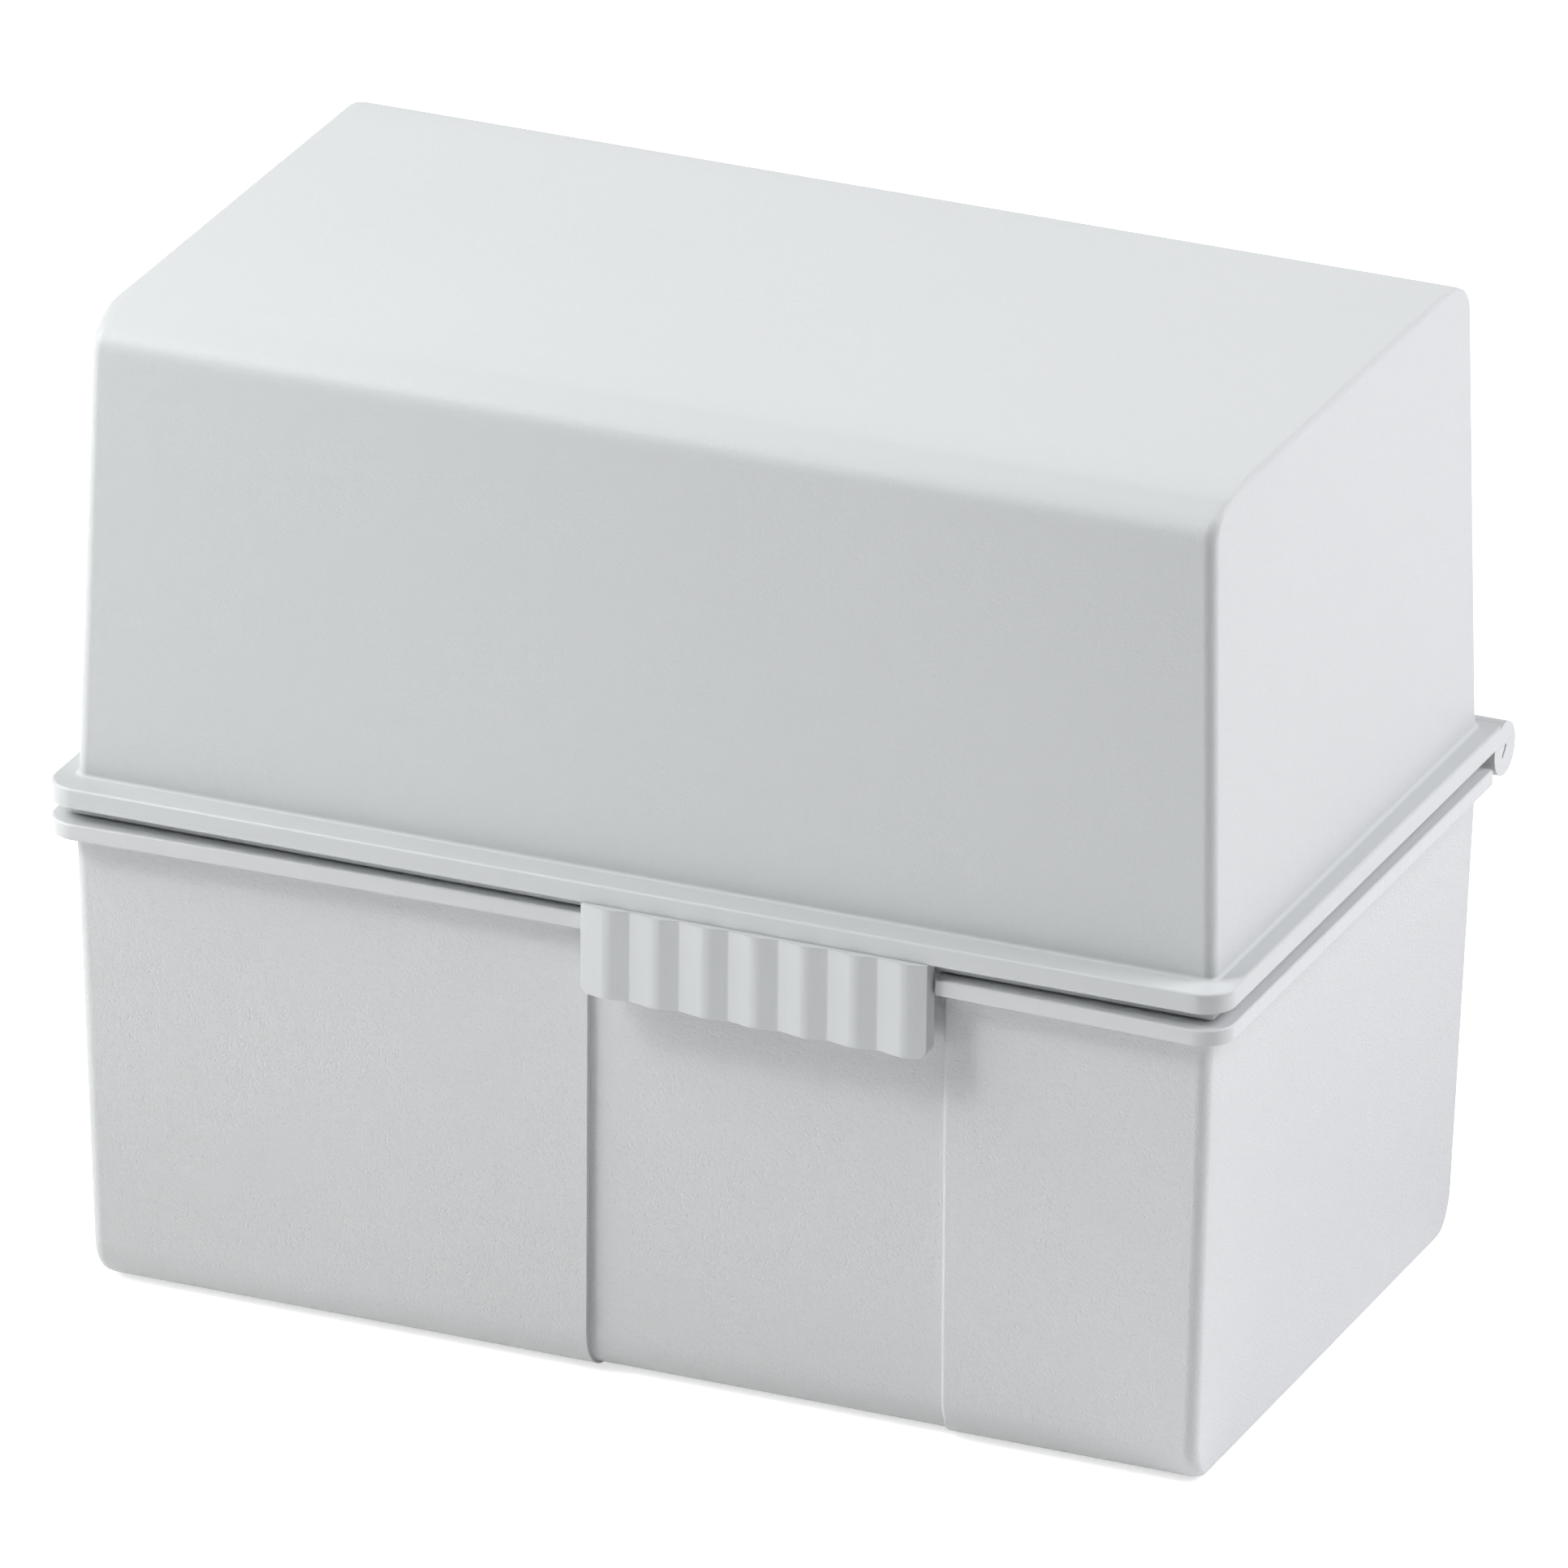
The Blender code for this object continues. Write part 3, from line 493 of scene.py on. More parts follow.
def make_lid():
    """Lid: drafted walls, rolled top edges, rim, lip, latch and three hinge barrels."""
    flare = FOOT_FLARE[0][0]
    lid = block("card_box_lid", (-LID_FOOT_HALF - flare, LID_FOOT_FRONT - flare, LID_RIM_BOTTOM + 0.0005),
                (LID_FOOT_HALF + flare, LID_FOOT_BACK + flare, LID_RIM_TOP))
    round_upright_corners(lid, LID_CORNER, LID_CORNER)
    grow(lid, [(LID_RIM_TOP + rise, LID_FOOT_HALF + out, LID_FOOT_FRONT - out, LID_FOOT_BACK + out)
               for out, rise in FOOT_FLARE[1:]])
    grow(lid, lid_rings(0.0, LID_HEIGHT))

    rim = block("rim", (-HALF_WIDTH, FRONT, LID_RIM_BOTTOM), (HALF_WIDTH, RIM_BACK, LID_RIM_TOP))
    round_upright_corners(rim, RIM_FRONT_RADIUS, LID_RIM_BACK_RADIUS, 10)
    round_outline(rim, True, LID_RIM_TOP_EDGE)
    round_outline(rim, False, LID_RIM_LOWER_EDGE, 2)
    cut_or_join(lid, rim, "UNION")

    lip = block("lip", (-LIP_HALF, LIP_FRONT, LIP_BOTTOM), (LIP_HALF, LIP_BACK, LID_RIM_BOTTOM + 0.0004))
    round_upright_corners(lip, 0.0004, 0.0004, 3)
    cut_or_join(lid, lip, "UNION")

    inner = lid_rings(LID_WALL, LID_HEIGHT - LID_WALL)
    height, half, front, back = inner[0]
    foot_half = LID_FOOT_HALF - LID_WALL
    core = block("core", (-foot_half, LID_FOOT_FRONT + LID_WALL, LIP_BOTTOM - PAST),
                 (foot_half, LID_FOOT_BACK - LID_WALL, height))
    round_upright_corners(core, 0.0007, 0.0007, 4)
    reshape_cap(core, True, half, front, back)
    grow(core, inner[1:])
    cut_or_join(lid, core, "DIFFERENCE")

    latch = make_ribbed_latch()
    add_hook(latch)
    root = block("root", (LATCH_LEFT + 0.0001, FRONT + 0.00032, LID_RIM_BOTTOM - 0.001),
                 (LATCH_RIGHT - 0.0001, FRONT + LATCH_THICK - 0.00003, LID_RIM_BOTTOM + 0.0008))
    cut_or_join(latch, root, "UNION")
    cut_or_join(lid, latch, "UNION")

    lid_spans, tub_spans = barrel_spans()
    reach = BARREL_RADIUS + CLEARANCE
    for low, high in tub_spans:
        clear = block("clear", (low - BARREL_GAP, PIVOT_Y - reach, LIP_BOTTOM - PAST),
                      (high + BARREL_GAP, PIVOT_Y + PAST, PIVOT_Z + reach))
        cut_or_join(lid, clear, "DIFFERENCE")
    for low, high in lid_spans:
        cut_or_join(lid, barrel("barrel", low, high), "UNION")
        left = low if low < -HALF_WIDTH + 1e-5 else low + 0.00005
        right = high if high > HALF_WIDTH - 1e-5 else high - 0.00005
        web = block("web", (left, LID_FOOT_BACK - LID_WALL / 2, PIVOT_Z), (right, PIVOT_Y, LID_RIM_TOP - 0.00002))
        soften_edges(web, lambda e: edge_run(e).y > 0.9 and edge_middle(e).z > LID_RIM_TOP - 0.00004
                     and abs(edge_middle(e).x) > HALF_WIDTH - 1e-5, LID_RIM_TOP_EDGE, 4)
        cut_or_join(lid, web, "UNION")
    for low, high in lid_spans:
        start = low + PIN_END_COVER if low < -HALF_WIDTH + 1e-5 else low - PAST / 2
        stop = high - PIN_END_COVER if high > HALF_WIDTH - 1e-5 else high + PAST / 2
        cut_or_join(lid, rod("bore", BORE_RADIUS, start, stop, 32), "DIFFERENCE")
    for side in (-1, 1):
        cut_or_join(lid, stake_tool(side), "DIFFERENCE")
    tidy_shell(lid, math.radians(30.0))
    return lid


def tub_rings(inward, floor, end_radius, side_radius):
    """Rings from the straight wall down round the bottom edges."""
    heights = {h for _, h in quarter_steps(end_radius)} | {h for _, h in quarter_steps(side_radius, 6)}
    rings = []
    for height in sorted(heights, reverse=True):
        z = floor + height
        draft = TUB_DRAFT * (TUB_RIM_BOTTOM - z) / TUB_RIM_BOTTOM
        side = inset_at(height, side_radius)
        end = inset_at(height, end_radius)
        rings.append((
            z,
            TUB_TOP_HALF - draft - inward - side,
            TUB_TOP_FRONT + draft + inward + end,
            TUB_TOP_BACK - draft - inward - end))
    return rings


def make_tub():
    """Tub: drafted and bowed walls, round bottom edges, rim, recess, notch and hinge barrels."""
    rings = tub_rings(0.0, 0.0, TUB_END_FILLET, TUB_SIDE_FILLET)
    height, half, front, back = rings[0]
    tub = block("card_box_tub", (-TUB_TOP_HALF, TUB_TOP_FRONT, height),
                (TUB_TOP_HALF, TUB_TOP_BACK, TUB_RIM_BOTTOM + 0.0005))
    round_upright_corners(tub, TUB_CORNER, TUB_CORNER)
    reshape_cap(tub, False, half, front, back)
    grow(tub, rings[1:], upwards=False)
    bow_front(tub, 0.0)
    cut_or_join(tub, recess_cutter(RECESS_LEFT, RECESS_RIGHT, RECESS_DEPTH), "DIFFERENCE")
    soften_edges(tub, lambda e: on_recess_edge(e, RECESS_LEFT, RECESS_LEFT_ROUND_END), RECESS_LEFT_ROUND, 5)
    soften_edges(tub, lambda e: on_recess_edge(e, RECESS_RIGHT, RECESS_RIGHT_ROUND_END), RECESS_RIGHT_ROUND, 6)

    rim = block("rim", (-HALF_WIDTH, FRONT, TUB_RIM_BOTTOM), (HALF_WIDTH, RIM_BACK, TUB_HEIGHT))
    round_upright_corners(rim, RIM_FRONT_RADIUS, RIM_BACK_RADIUS, 10)
    round_outline(rim, True, RIM_EDGE)
    round_outline(rim, False, TUB_RIM_LOWER_EDGE, 2)
    bow_front(rim, 0.0)
    cut_or_join(tub, rim, "UNION")

    inner = tub_rings(TUB_WALL, TUB_FLOOR, 0.0026, 0.0008)
    height, half, front, back = inner[0]
    core = block("core", (-TUB_TOP_HALF + TUB_WALL, TUB_TOP_FRONT + TUB_WALL, height),
                 (TUB_TOP_HALF - TUB_WALL, TUB_TOP_BACK - TUB_WALL, TUB_HEIGHT + PAST))
    round_upright_corners(core, 0.0009, 0.0009, 4)
    reshape_cap(core, False, half, front, back)
    grow(core, inner[1:], upwards=False)
    bow_front(core, 0.0)
    cut_or_join(tub, core, "DIFFERENCE")

    depth = 0.00234 + RECESS_DEPTH + FRONT_BOW
    cut_or_join(tub, notch_cutter(depth), "DIFFERENCE")
    add_catch(tub)

    lid_spans, tub_spans = barrel_spans()
    reach = BARREL_RADIUS + CLEARANCE
    for low, high in lid_spans:
        start = low - (PAST if low < -HALF_WIDTH + 1e-5 else BARREL_GAP)
        stop = high + (PAST if high > HALF_WIDTH - 1e-5 else BARREL_GAP)
        clear = block("clear", (start, PIVOT_Y - reach, PIVOT_Z - reach), (stop, PIVOT_Y + PAST, TUB_HEIGHT + PAST))
        cut_or_join(tub, clear, "DIFFERENCE")
    for low, high in tub_spans:
        cut_or_join(tub, barrel("barrel", low, high), "UNION")
        cut_or_join(tub, tub_web(low + 0.00005, high - 0.00005), "UNION")
    for low, high in tub_spans:
        cut_or_join(tub, rod("bore", BORE_RADIUS, low - PAST / 2, high + PAST / 2, 32), "DIFFERENCE")
    tidy_shell(tub, math.radians(30.0))
    return tub


def notch_cutter(depth):
    """Cutter for the gap in the rim, wider at its mouth so that the rim's ends come out round."""
    mouth = FRONT + NOTCH_BOW - 0.00001
    cutter = block("notch", (NOTCH_LEFT, mouth + NOTCH_ROUND, TUB_RIM_BOTTOM - 0.00011),
                   (NOTCH_RIGHT, FRONT + depth, TUB_HEIGHT + PAST))
    look_only(cutter)
    bpy.ops.object.mode_set(mode="EDIT")
    pick(cutter, "faces", lambda f: f.normal.y < -0.9)
    width = NOTCH_RIGHT - NOTCH_LEFT
    along = mouth + NOTCH_ROUND
    wide = width
    for step in range(1, 6):
        angle = 0.5 * math.pi * step / 5
        place = mouth + NOTCH_ROUND * (1 - math.sin(angle))
        spread = width + 2 * NOTCH_ROUND * (1 - math.cos(angle))
        bpy.ops.mesh.extrude_region_move(TRANSFORM_OT_translate={"value": (0.0, place - along, 0.0)})
        bpy.ops.transform.resize(value=(spread / wide, 1.0, 1.0),
                                 center_override=((NOTCH_LEFT + NOTCH_RIGHT) / 2, place, TUB_HEIGHT))
        along = place
        wide = spread
    bpy.ops.mesh.extrude_region_move(TRANSFORM_OT_translate={"value": (0.0, -PAST, 0.0)})
    bpy.ops.object.mode_set(mode="OBJECT")
    return cutter


def recess_cutter(left, right, depth):
    """Cutter for a shallow panel down the front that fades out round the lower edge."""
    foot = TUB_TOP_FRONT + TUB_DRAFT
    radius = TUB_END_FILLET
    middle_bow = 1.0 - ((left + right) / (2 * HALF_WIDTH)) ** 2

    def bowed(y, z):
        return y + middle_bow * FRONT_BOW * max(z, 0.0) / TUB_HEIGHT

    cutter = block("recess", (left, FRONT - PAST, TUB_END_FILLET), (right, foot + depth, TUB_HEIGHT + PAST))
    look_only(cutter)
    bpy.ops.object.mode_set(mode="EDIT")
    rise = (TUB_HEIGHT + PAST - TUB_END_FILLET) / TUB_RIM_BOTTOM
    for height, y in ((TUB_HEIGHT + PAST, foot + depth - TUB_DRAFT * rise), (TUB_END_FILLET, foot + depth)):
        pick(cutter, "verts", lambda v: v.co.y > FRONT and abs(v.co.z - height) < 1e-5)
        bpy.ops.transform.translate(value=(0.0, bowed(y, height) - foot - depth, 0.0))
    pick(cutter, "faces", lambda f: f.normal.z < -0.9)
    steps = []
    for k in range(1, 8):
        angle = 0.5 * math.pi * k / 8
        steps.append((foot + depth + radius * (1 - math.cos(angle)), radius * (1 - math.sin(angle))))
    steps.append((foot + depth + radius, -0.00002))
    level = TUB_END_FILLET
    for y, z in steps:
        bpy.ops.mesh.extrude_region_move(TRANSFORM_OT_translate={"value": (0.0, 0.0, min(z - level, -1e-6))})
        mesh = bmesh.from_edit_mesh(cutter.data)
        for vertex in mesh.verts:
            if vertex.select and vertex.co.y > FRONT:
                vertex.co.y = bowed(y, z)
        bmesh.update_edit_mesh(cutter.data)
        level = z
    bpy.ops.mesh.extrude_region_move(TRANSFORM_OT_translate={"value": (0.0, 0.0, -PAST)})
    bpy.ops.object.mode_set(mode="OBJECT")
    return cutter


def on_recess_edge(edge, place, lowest):
    """True on an outer edge of the recess, where its side wall meets the tub's front."""
    if all(abs(v.co.x - place) < 1e-5 for v in edge.verts) and edge.is_convex:
        return any(abs(f.normal.x) > 0.99 for f in edge.link_faces) and edge_middle(edge).z > lowest
    return False


def tub_web(low, high):
    """Web under a tub barrel: a block whose back is drawn out to the barrel."""
    wall = TUB_TOP_BACK - TUB_WALL / 2
    web = block("web", (low, wall, PIVOT_Z - 0.0068), (high, wall + 0.0012, PIVOT_Z - 0.0005))
    slice_across(web, 2, [PIVOT_Z - 0.0014])
    for vertex in web.data.vertices:
        if vertex.co.y > wall + 0.0006 and vertex.co.z > PIVOT_Z - 0.002:
            vertex.co.y = PIVOT_Y + BARREL_RADIUS * 0.5
            if vertex.co.z < PIVOT_Z - 0.001:
                vertex.co.y = PIVOT_Y + BARREL_RADIUS * 0.84
    return web


def new_material(name, colour, roughness, metallic=0.0):
    """Material with a plain shader and an Object coordinate to read patterns from."""
    material = bpy.data.materials.new(name)
    material.use_nodes = True
    nodes = material.node_tree.nodes
    shader = nodes["Principled BSDF"]
    shader.inputs["Base Color"].default_value = (*colour, 1.0)
    shader.inputs["Roughness"].default_value = roughness
    shader.inputs["Metallic"].default_value = metallic
    coordinate = nodes.new("ShaderNodeTexCoord")
    return material, nodes, material.node_tree.links, shader, coordinate


def new_group(name, inputs, outputs):
    """Node group with named inputs (kind and starting value) and outputs."""
    group = bpy.data.node_groups.new(name, "ShaderNodeTree")
    for label, (kind, value) in inputs.items():
        socket = group.interface.new_socket(name=label, in_out="INPUT", socket_type=kind)
        if value is not None:
            socket.default_value = value
    for label, kind in outputs.items():
        group.interface.new_socket(name=label, in_out="OUTPUT", socket_type=kind)
    entry = group.nodes.new("NodeGroupInput")
    out = group.nodes.new("NodeGroupOutput")
    return group, group.nodes, group.links, entry, out


def math_node(nodes, links, operation, *values):
    """Math node whose inputs are sockets or numbers."""
    node = nodes.new("ShaderNodeMath")
    node.operation = operation
    for socket, value in zip(node.inputs, values):
        if hasattr(value, "links"):
            links.new(value, socket)
        else:
            socket.default_value = value
    return node.outputs[0]


def noise_node(nodes, links, vector, scale, detail, roughness):
    """Noise texture read at a vector."""
    node = nodes.new("ShaderNodeTexNoise")
    node.inputs["Detail"].default_value = detail
    node.inputs["Roughness"].default_value = roughness
    links.new(vector, node.inputs["Vector"])
    if hasattr(scale, "links"):
        links.new(scale, node.inputs["Scale"])
    else:
        node.inputs["Scale"].default_value = scale
    return node


def ramp_between(nodes, links, value, low, high, to_low=0.0, to_high=1.0):
    """Map Range node, clamped."""
    node = nodes.new("ShaderNodeMapRange")
    links.new(value, node.inputs["Value"])
    for label, number in (("From Min", low), ("From Max", high), ("To Min", to_low), ("To Max", to_high)):
        node.inputs[label].default_value = number
    return node.outputs["Result"]


def make_grain_group():
    """Spark eroded mould grain: fine winding ridges with a coarser waviness under them."""
    group, nodes, links, entry, out = new_group(
        "mould_grain",
        {"Vector": ("NodeSocketVector", None), "Grain Size": ("NodeSocketFloat", 0.0004),
         "Waviness": ("NodeSocketFloat", 0.25)},
        {"Height": "NodeSocketFloat", "Fleck": "NodeSocketFloat"})
    scale = math_node(nodes, links, "DIVIDE", 1.0, entry.outputs["Grain Size"])
    fine = noise_node(nodes, links, entry.outputs["Vector"], scale, 1.2, 0.5)
    off_middle = math_node(nodes, links, "SUBTRACT", fine.outputs["Fac"], 0.5)
    ridges = math_node(nodes, links, "MULTIPLY", math_node(nodes, links, "ABSOLUTE", off_middle), -1.6)
    coarse_scale = math_node(nodes, links, "MULTIPLY", scale, 0.13)
    coarse = noise_node(nodes, links, entry.outputs["Vector"], coarse_scale, 1.5, 0.5)
    wave = math_node(nodes, links, "MULTIPLY", coarse.outputs["Fac"], entry.outputs["Waviness"])
    links.new(math_node(nodes, links, "ADD", ridges, wave), out.inputs["Height"])
    fleck = ramp_between(nodes, links, fine.outputs["Fac"], 0.35, 0.72)
    links.new(fleck, out.inputs["Fleck"])
    return group


def make_tool_mark_group():
    """Fine lines that milling left, seen across a vector that is squeezed along them."""
    group, nodes, links, entry, out = new_group(
        "tool_marks",
        {"Vector": ("NodeSocketVector", None), "Spacing": ("NodeSocketFloat", 0.00035)},
        {"Height": "NodeSocketFloat"})
    scale = math_node(nodes, links, "DIVIDE", 1.0, entry.outputs["Spacing"])
    lines = noise_node(nodes, links, entry.outputs["Vector"], scale, 2.0, 0.5)
    links.new(lines.outputs["Fac"], out.inputs["Height"])
    return group


def make_tone_group():
    """Slow drift of tone in moulded plastic: flow streaks and a few dark specks."""
    group, nodes, links, entry, out = new_group(
        "plastic_tone",
        {"Vector": ("NodeSocketVector", None), "Colour": ("NodeSocketColor", (0.6, 0.6, 0.6, 1.0)),
         "Drift": ("NodeSocketFloat", 0.03), "Specks": ("NodeSocketFloat", 0.35)},
        {"Colour": "NodeSocketColor"})
    slow = noise_node(nodes, links, entry.outputs["Vector"], 28.0, 2.0, 0.5)
    centred = math_node(nodes, links, "SUBTRACT", slow.outputs["Fac"], 0.5)
    drift = math_node(nodes, links, "MULTIPLY", centred, entry.outputs["Drift"])
    level = math_node(nodes, links, "ADD", drift, 1.0)
    dots = nodes.new("ShaderNodeTexVoronoi")
    dots.inputs["Scale"].default_value = 62.0
    links.new(entry.outputs["Vector"], dots.inputs["Vector"])
    near = math_node(nodes, links, "LESS_THAN", dots.outputs["Distance"], 0.0105)
    dark = math_node(nodes, links, "MULTIPLY", near, entry.outputs["Specks"])
    factor = math_node(nodes, links, "SUBTRACT", level, dark)
    tint = nodes.new("ShaderNodeVectorMath")
    tint.operation = "SCALE"
    links.new(entry.outputs["Colour"], tint.inputs[0])
    links.new(factor, tint.inputs["Scale"])
    links.new(tint.outputs["Vector"], out.inputs["Colour"])
    return group


def group_node(nodes, group, **values):
    """Placed node group with its own values."""
    node = nodes.new("ShaderNodeGroup")
    node.node_tree = group
    for label, value in values.items():
        node.inputs[label.replace("_", " ")].default_value = value
    return node


def make_plastic(name, colour, groups, smooth_low, smooth_high, grain_depth, mark_depth):
    """Grained plastic whose rim zone, between two heights, is smooth but for fine marks."""
    grain, marks, tone = groups
    material, nodes, links, shader, coordinate = new_material(name, colour, 0.5)
    spot = coordinate.outputs["Object"]
    grain_here = group_node(nodes, grain, Grain_Size=0.00033, Waviness=0.3)
    marks_here = group_node(nodes, marks, Spacing=0.00033)
    tone_here = group_node(nodes, tone, Colour=(*colour, 1.0), Drift=0.035, Specks=0.3)
    for node in (grain_here, tone_here):
        links.new(spot, node.inputs["Vector"])
    split = nodes.new("ShaderNodeSeparateXYZ")
    links.new(spot, split.inputs[0])
    latch_zone = ramp_between(nodes, links, split.outputs["Z"], LID_RIM_BOTTOM - 0.0001, LID_RIM_BOTTOM, 1.0, 0.0)
    stretch = nodes.new("ShaderNodeMix")
    stretch.data_type = "VECTOR"
    links.new(latch_zone, stretch.inputs["Factor"])
    stretch.inputs["A"].default_value = (0.012, 0.012, 1.0)
    stretch.inputs["B"].default_value = (1.0, 0.4, 0.012)
    drawn = nodes.new("ShaderNodeVectorMath")
    drawn.operation = "MULTIPLY"
    links.new(spot, drawn.inputs[0])
    links.new(stretch.outputs["Result"], drawn.inputs[1])
    links.new(drawn.outputs["Vector"], marks_here.inputs["Vector"])
    above = ramp_between(nodes, links, split.outputs["Z"], smooth_low - 0.0001, smooth_low)
    below = ramp_between(nodes, links, split.outputs["Z"], smooth_high, smooth_high + 0.0001, 1.0, 0.0)
    rim_zone = math_node(nodes, links, "MULTIPLY", above, below)
    wall_zone = math_node(nodes, links, "SUBTRACT", 1.0, rim_zone)

    rough_wall = ramp_between(nodes, links, grain_here.outputs["Fleck"], 0.0, 1.0, 0.52, 0.42)
    rough = nodes.new("ShaderNodeMix")
    rough.data_type = "FLOAT"
    links.new(wall_zone, rough.inputs["Factor"])
    rough.inputs["A"].default_value = 0.38
    links.new(rough_wall, rough.inputs["B"])
    links.new(rough.outputs["Result"], shader.inputs["Roughness"])
    links.new(tone_here.outputs["Colour"], shader.inputs["Base Color"])

    grain_share = math_node(nodes, links, "MULTIPLY", wall_zone, grain_depth)
    mark_share = math_node(nodes, links, "MULTIPLY", rim_zone, mark_depth)
    grain_height = math_node(nodes, links, "MULTIPLY", grain_here.outputs["Height"], grain_share)
    mark_height = math_node(nodes, links, "MULTIPLY", marks_here.outputs["Height"], mark_share)
    height = math_node(nodes, links, "ADD", grain_height, mark_height)
    bump = nodes.new("ShaderNodeBump")
    bump.inputs["Strength"].default_value = 1.0
    bump.inputs["Distance"].default_value = 0.001
    links.new(height, bump.inputs["Height"])
    links.new(bump.outputs["Normal"], shader.inputs["Normal"])
    shader.inputs["IOR"].default_value = 1.5
    return material


def make_steel(name, colour, base_roughness, groups, stretch):
    """Drawn or rolled metal with fine lines one way and slight cloudiness."""
    grain, marks, tone = groups
    material, nodes, links, shader, coordinate = new_material(name, colour, base_roughness, 1.0)
    turned = nodes.new("ShaderNodeMapping")
    turned.inputs["Scale"].default_value = stretch
    links.new(coordinate.outputs["Object"], turned.inputs["Vector"])
    brushed = noise_node(nodes, links, turned.outputs["Vector"], 5200.0, 3.0, 0.6)
    cloud = noise_node(nodes, links, coordinate.outputs["Object"], 90.0, 2.0, 0.5)
    rough = ramp_between(nodes, links, brushed.outputs["Fac"], 0.3, 0.7, base_roughness - 0.06, base_roughness + 0.1)
    links.new(rough, shader.inputs["Roughness"])
    tone_here = group_node(nodes, tone, Colour=(*colour, 1.0), Drift=0.12, Specks=0.0)
    links.new(coordinate.outputs["Object"], tone_here.inputs["Vector"])
    links.new(tone_here.outputs["Colour"], shader.inputs["Base Color"])
    both = math_node(nodes, links, "ADD", brushed.outputs["Fac"], cloud.outputs["Fac"])
    bump = nodes.new("ShaderNodeBump")
    bump.inputs["Strength"].default_value = 0.35
    bump.inputs["Distance"].default_value = 0.00001
    links.new(both, bump.inputs["Height"])
    links.new(bump.outputs["Normal"], shader.inputs["Normal"])
    return material


def wear(obj, material):
    """Give a piece one material."""
    obj.data.materials.clear()
    obj.data.materials.append(material)


def seen_white(nodes, links):
    """1 where the camera, a reflection or a see-through ray looks straight at the surface."""
    path = nodes.new("ShaderNodeLightPath")
    direct = math_node(nodes, links, "MAXIMUM", path.outputs["Is Camera Ray"], path.outputs["Is Glossy Ray"])
    return math_node(nodes, links, "MAXIMUM", direct, path.outputs["Is Transmission Ray"])


def make_floor():
    """Wide pale floor that reads white and keeps a faint shadow under the box."""
    bpy.ops.object.select_all(action="DESELECT")
    bpy.ops.mesh.primitive_plane_add(size=8.0, location=(0.0, 0.0, 0.0))
    floor = bpy.context.object
    floor.name = "floor"
    material = bpy.data.materials.new("white_floor")
    material.use_nodes = True
    nodes = material.node_tree.nodes
    links = material.node_tree.links
    nodes.clear()
    out = nodes.new("ShaderNodeOutputMaterial")
    diffuse = nodes.new("ShaderNodeBsdfDiffuse")
    diffuse.inputs["Color"].default_value = (0.88, 0.88, 0.88, 1.0)
    glow = nodes.new("ShaderNodeEmission")
    links.new(math_node(nodes, links, "MULTIPLY", seen_white(nodes, links), 0.62), glow.inputs["Strength"])
    both = nodes.new("ShaderNodeAddShader")
    links.new(diffuse.outputs[0], both.inputs[0])
    links.new(glow.outputs[0], both.inputs[1])
    links.new(both.outputs[0], out.inputs["Surface"])
    floor.data.materials.append(material)


def make_world():
    """White surroundings: strength 1 where they are seen, and a softer level as light."""
    world = bpy.data.worlds.new("studio")
    bpy.context.scene.world = world
    world.use_nodes = True
    nodes = world.node_tree.nodes
    links = world.node_tree.links
    back = nodes["Background"]
    back.inputs["Color"].default_value = (1.0, 1.0, 1.0, 1.0)
    seen = seen_white(nodes, links)
    strength = ramp_between(nodes, links, seen, 0.0, 1.0, WORLD_LEVEL, 1.0)
    links.new(strength, back.inputs["Strength"])


def soft_lamp(name, source, size, power, colour, distance, aim=(0.0, 0.0, 0.05)):
    """Square lamp that looks at the box from a direction."""
    data = bpy.data.lights.new(name, "AREA")
    data.shape = "RECTANGLE"
    data.size, data.size_y = size
    data.energy = power
    data.color = colour
    lamp = bpy.data.objects.new(name, data)
    bpy.context.scene.collection.objects.link(lamp)
    way = Vector(source).normalized()
    lamp.location = Vector(aim) + way * distance
    lamp.rotation_mode = "QUATERNION"
    lamp.rotation_quaternion = way.to_track_quat("Z", "Y")


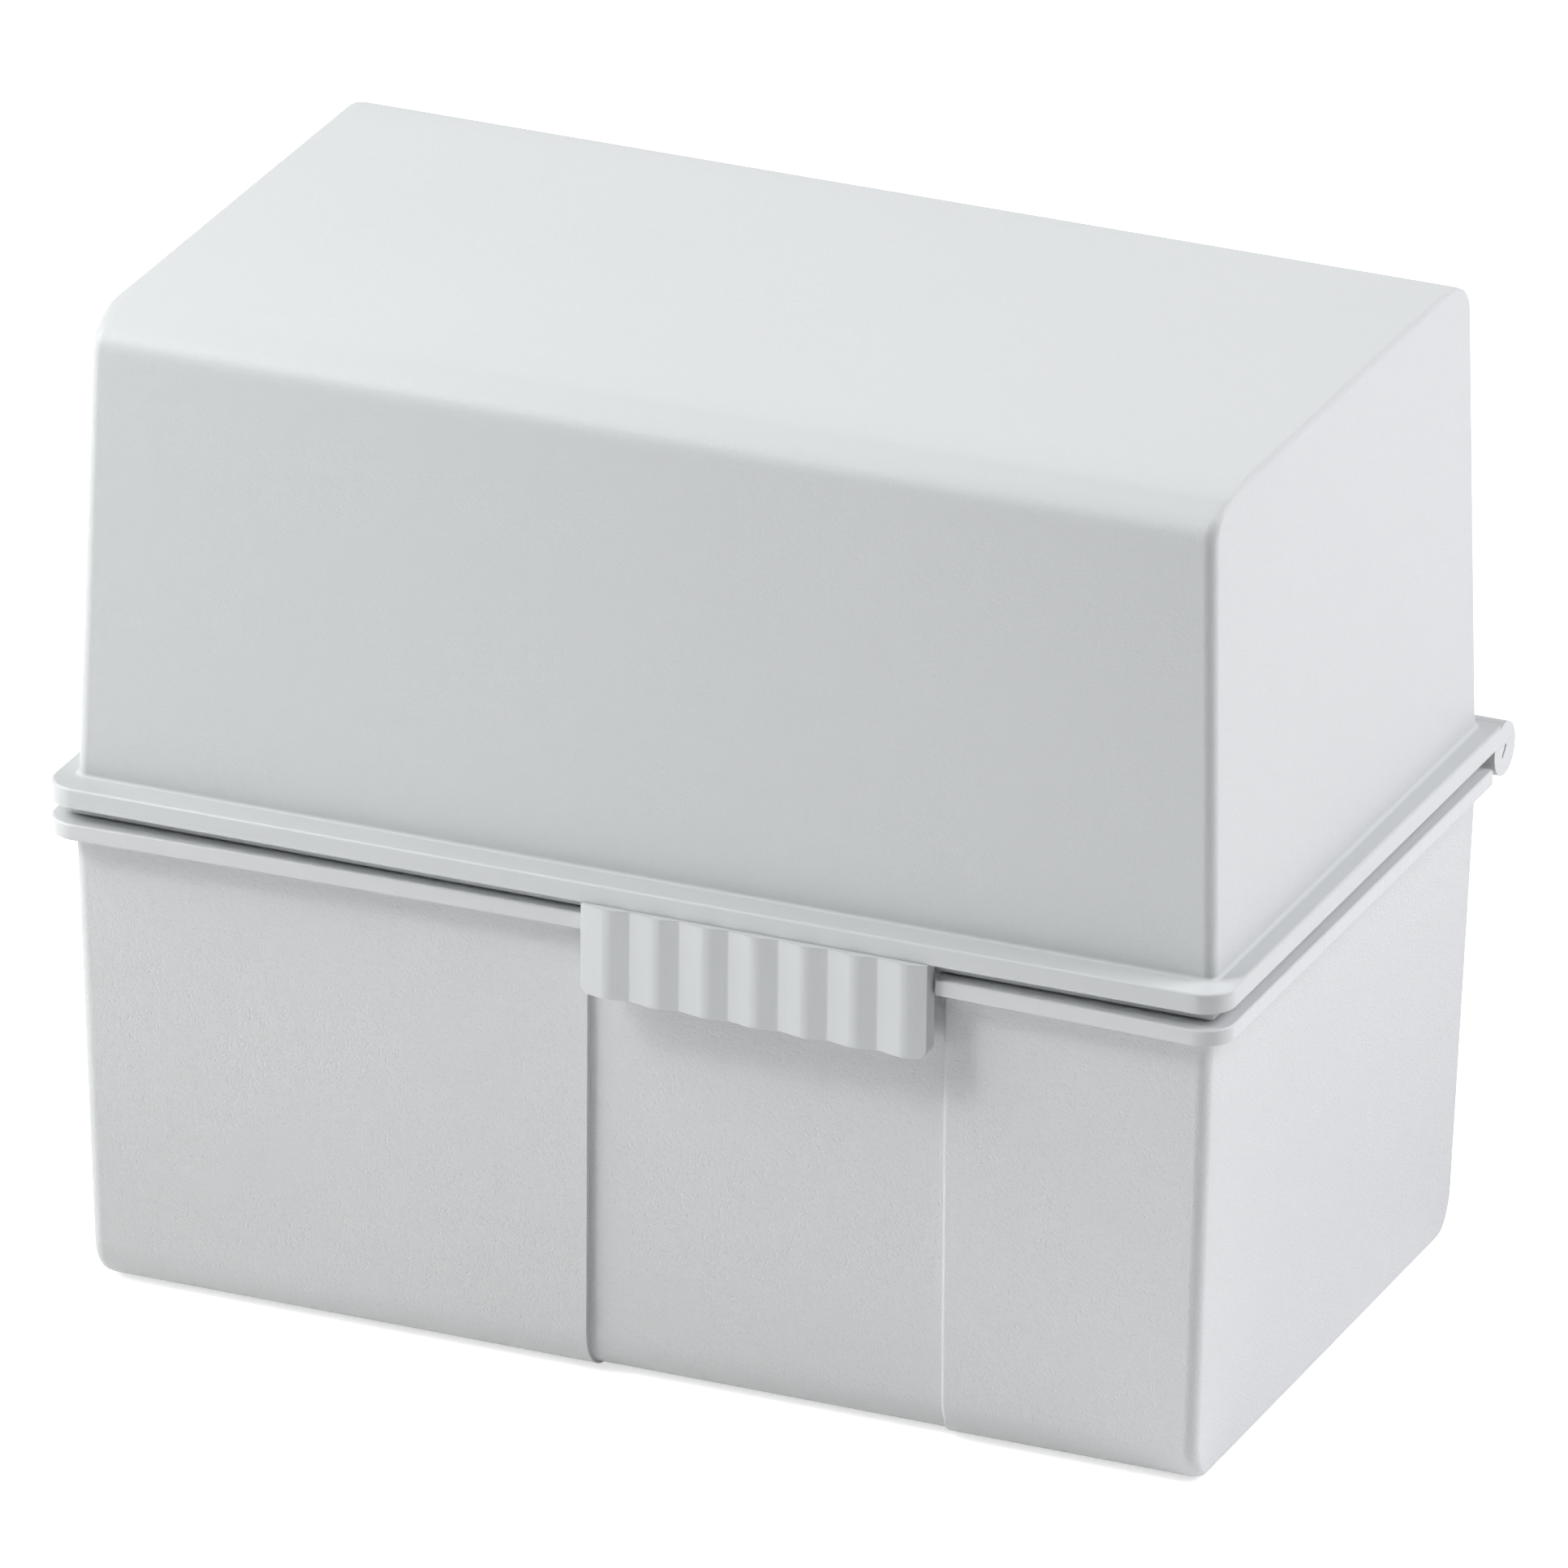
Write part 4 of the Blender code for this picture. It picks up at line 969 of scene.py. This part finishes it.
def place_camera():
    """Camera at the photograph's place: long lens, slightly from the right and above."""
    data = bpy.data.cameras.new("camera")
    camera = bpy.data.objects.new("camera", data)
    bpy.context.scene.collection.objects.link(camera)
    turn, lift, roll = math.radians(23.0493), math.radians(23.5383), math.radians(0.5724)
    back = Vector((math.sin(turn) * math.cos(lift), -math.cos(turn) * math.cos(lift), math.sin(lift)))
    right = Vector((math.cos(turn), math.sin(turn), 0.0))
    up = back.cross(right)
    right_rolled = math.cos(roll) * right + math.sin(roll) * up
    up_rolled = -math.sin(roll) * right + math.cos(roll) * up
    camera.matrix_world = Matrix((
        (right_rolled.x, up_rolled.x, back.x, 0.7842),
        (right_rolled.y, up_rolled.y, back.y, -1.8429),
        (right_rolled.z, up_rolled.z, back.z, 0.9224),
        (0.0, 0.0, 0.0, 1.0)))
    data.sensor_width = 36.0
    data.lens = 28071.2 * 36.0 / PICTURE_SIZE
    data.shift_x = (PICTURE_SIZE / 2 - 960.85) / PICTURE_SIZE
    data.shift_y = (965.22 - PICTURE_SIZE / 2) / PICTURE_SIZE
    data.clip_start = 0.05
    data.clip_end = 20.0
    bpy.context.scene.camera = camera


make_world()
make_floor()
place_camera()
soft_lamp("key", (-0.50, -0.555, 0.666), (0.09, 0.09), 0.70, (1.0, 1.0, 1.0), 0.60)
soft_lamp("left", (-0.90, -0.40, 0.25), (0.5, 0.5), 0.78, (1.0, 1.0, 1.0), 0.60)
soft_lamp("left_high", (-0.75, -0.35, 0.75), (0.6, 0.6), 4.75, (1.0, 1.0, 1.0), 0.70)
soft_lamp("right_high", (0.75, 0.35, 0.62), (0.7, 0.7), 10.3, (0.98, 0.967, 1.0), 1.00)
soft_lamp("low_front", (-0.15, -1.0, 0.02), (0.4, 0.03), 0.008, (1.0, 1.0, 1.0), 0.16, (-0.01, -0.037, 0.012))

groups = (make_grain_group(), make_tool_mark_group(), make_tone_group())
tub_plastic = make_plastic("tub_plastic", TUB_GREY_WITH_PAINTED_LOW_LIGHT, groups, TUB_RIM_BOTTOM - 0.00005, TUB_HEIGHT + 0.004,
                           0.085, 0.03)
lid_plastic = make_plastic("lid_plastic", LID_COLOUR, groups, LATCH_BOTTOM - 0.001, LID_RIM_TOP + 0.00005,
                           0.034, 0.02)
pin_steel = make_steel("hinge_steel", (0.60, 0.60, 0.585), 0.30, groups, (0.05, 1.0, 1.0))
plate_steel = make_steel("sheet_steel", (0.66, 0.67, 0.68), 0.38, groups, (1.0, 1.0, 0.04))

tub = make_tub()
wear(tub, tub_plastic)
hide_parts("base_tub")
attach(tub, "tub")

lid = make_lid()
wear(lid, lid_plastic)
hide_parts("lid_cover")
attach(lid, "lid")

wear(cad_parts["hinge_pin"], pin_steel)
wear(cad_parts["card_support"], plate_steel)

bpy.context.scene.view_settings.view_transform = "Standard"
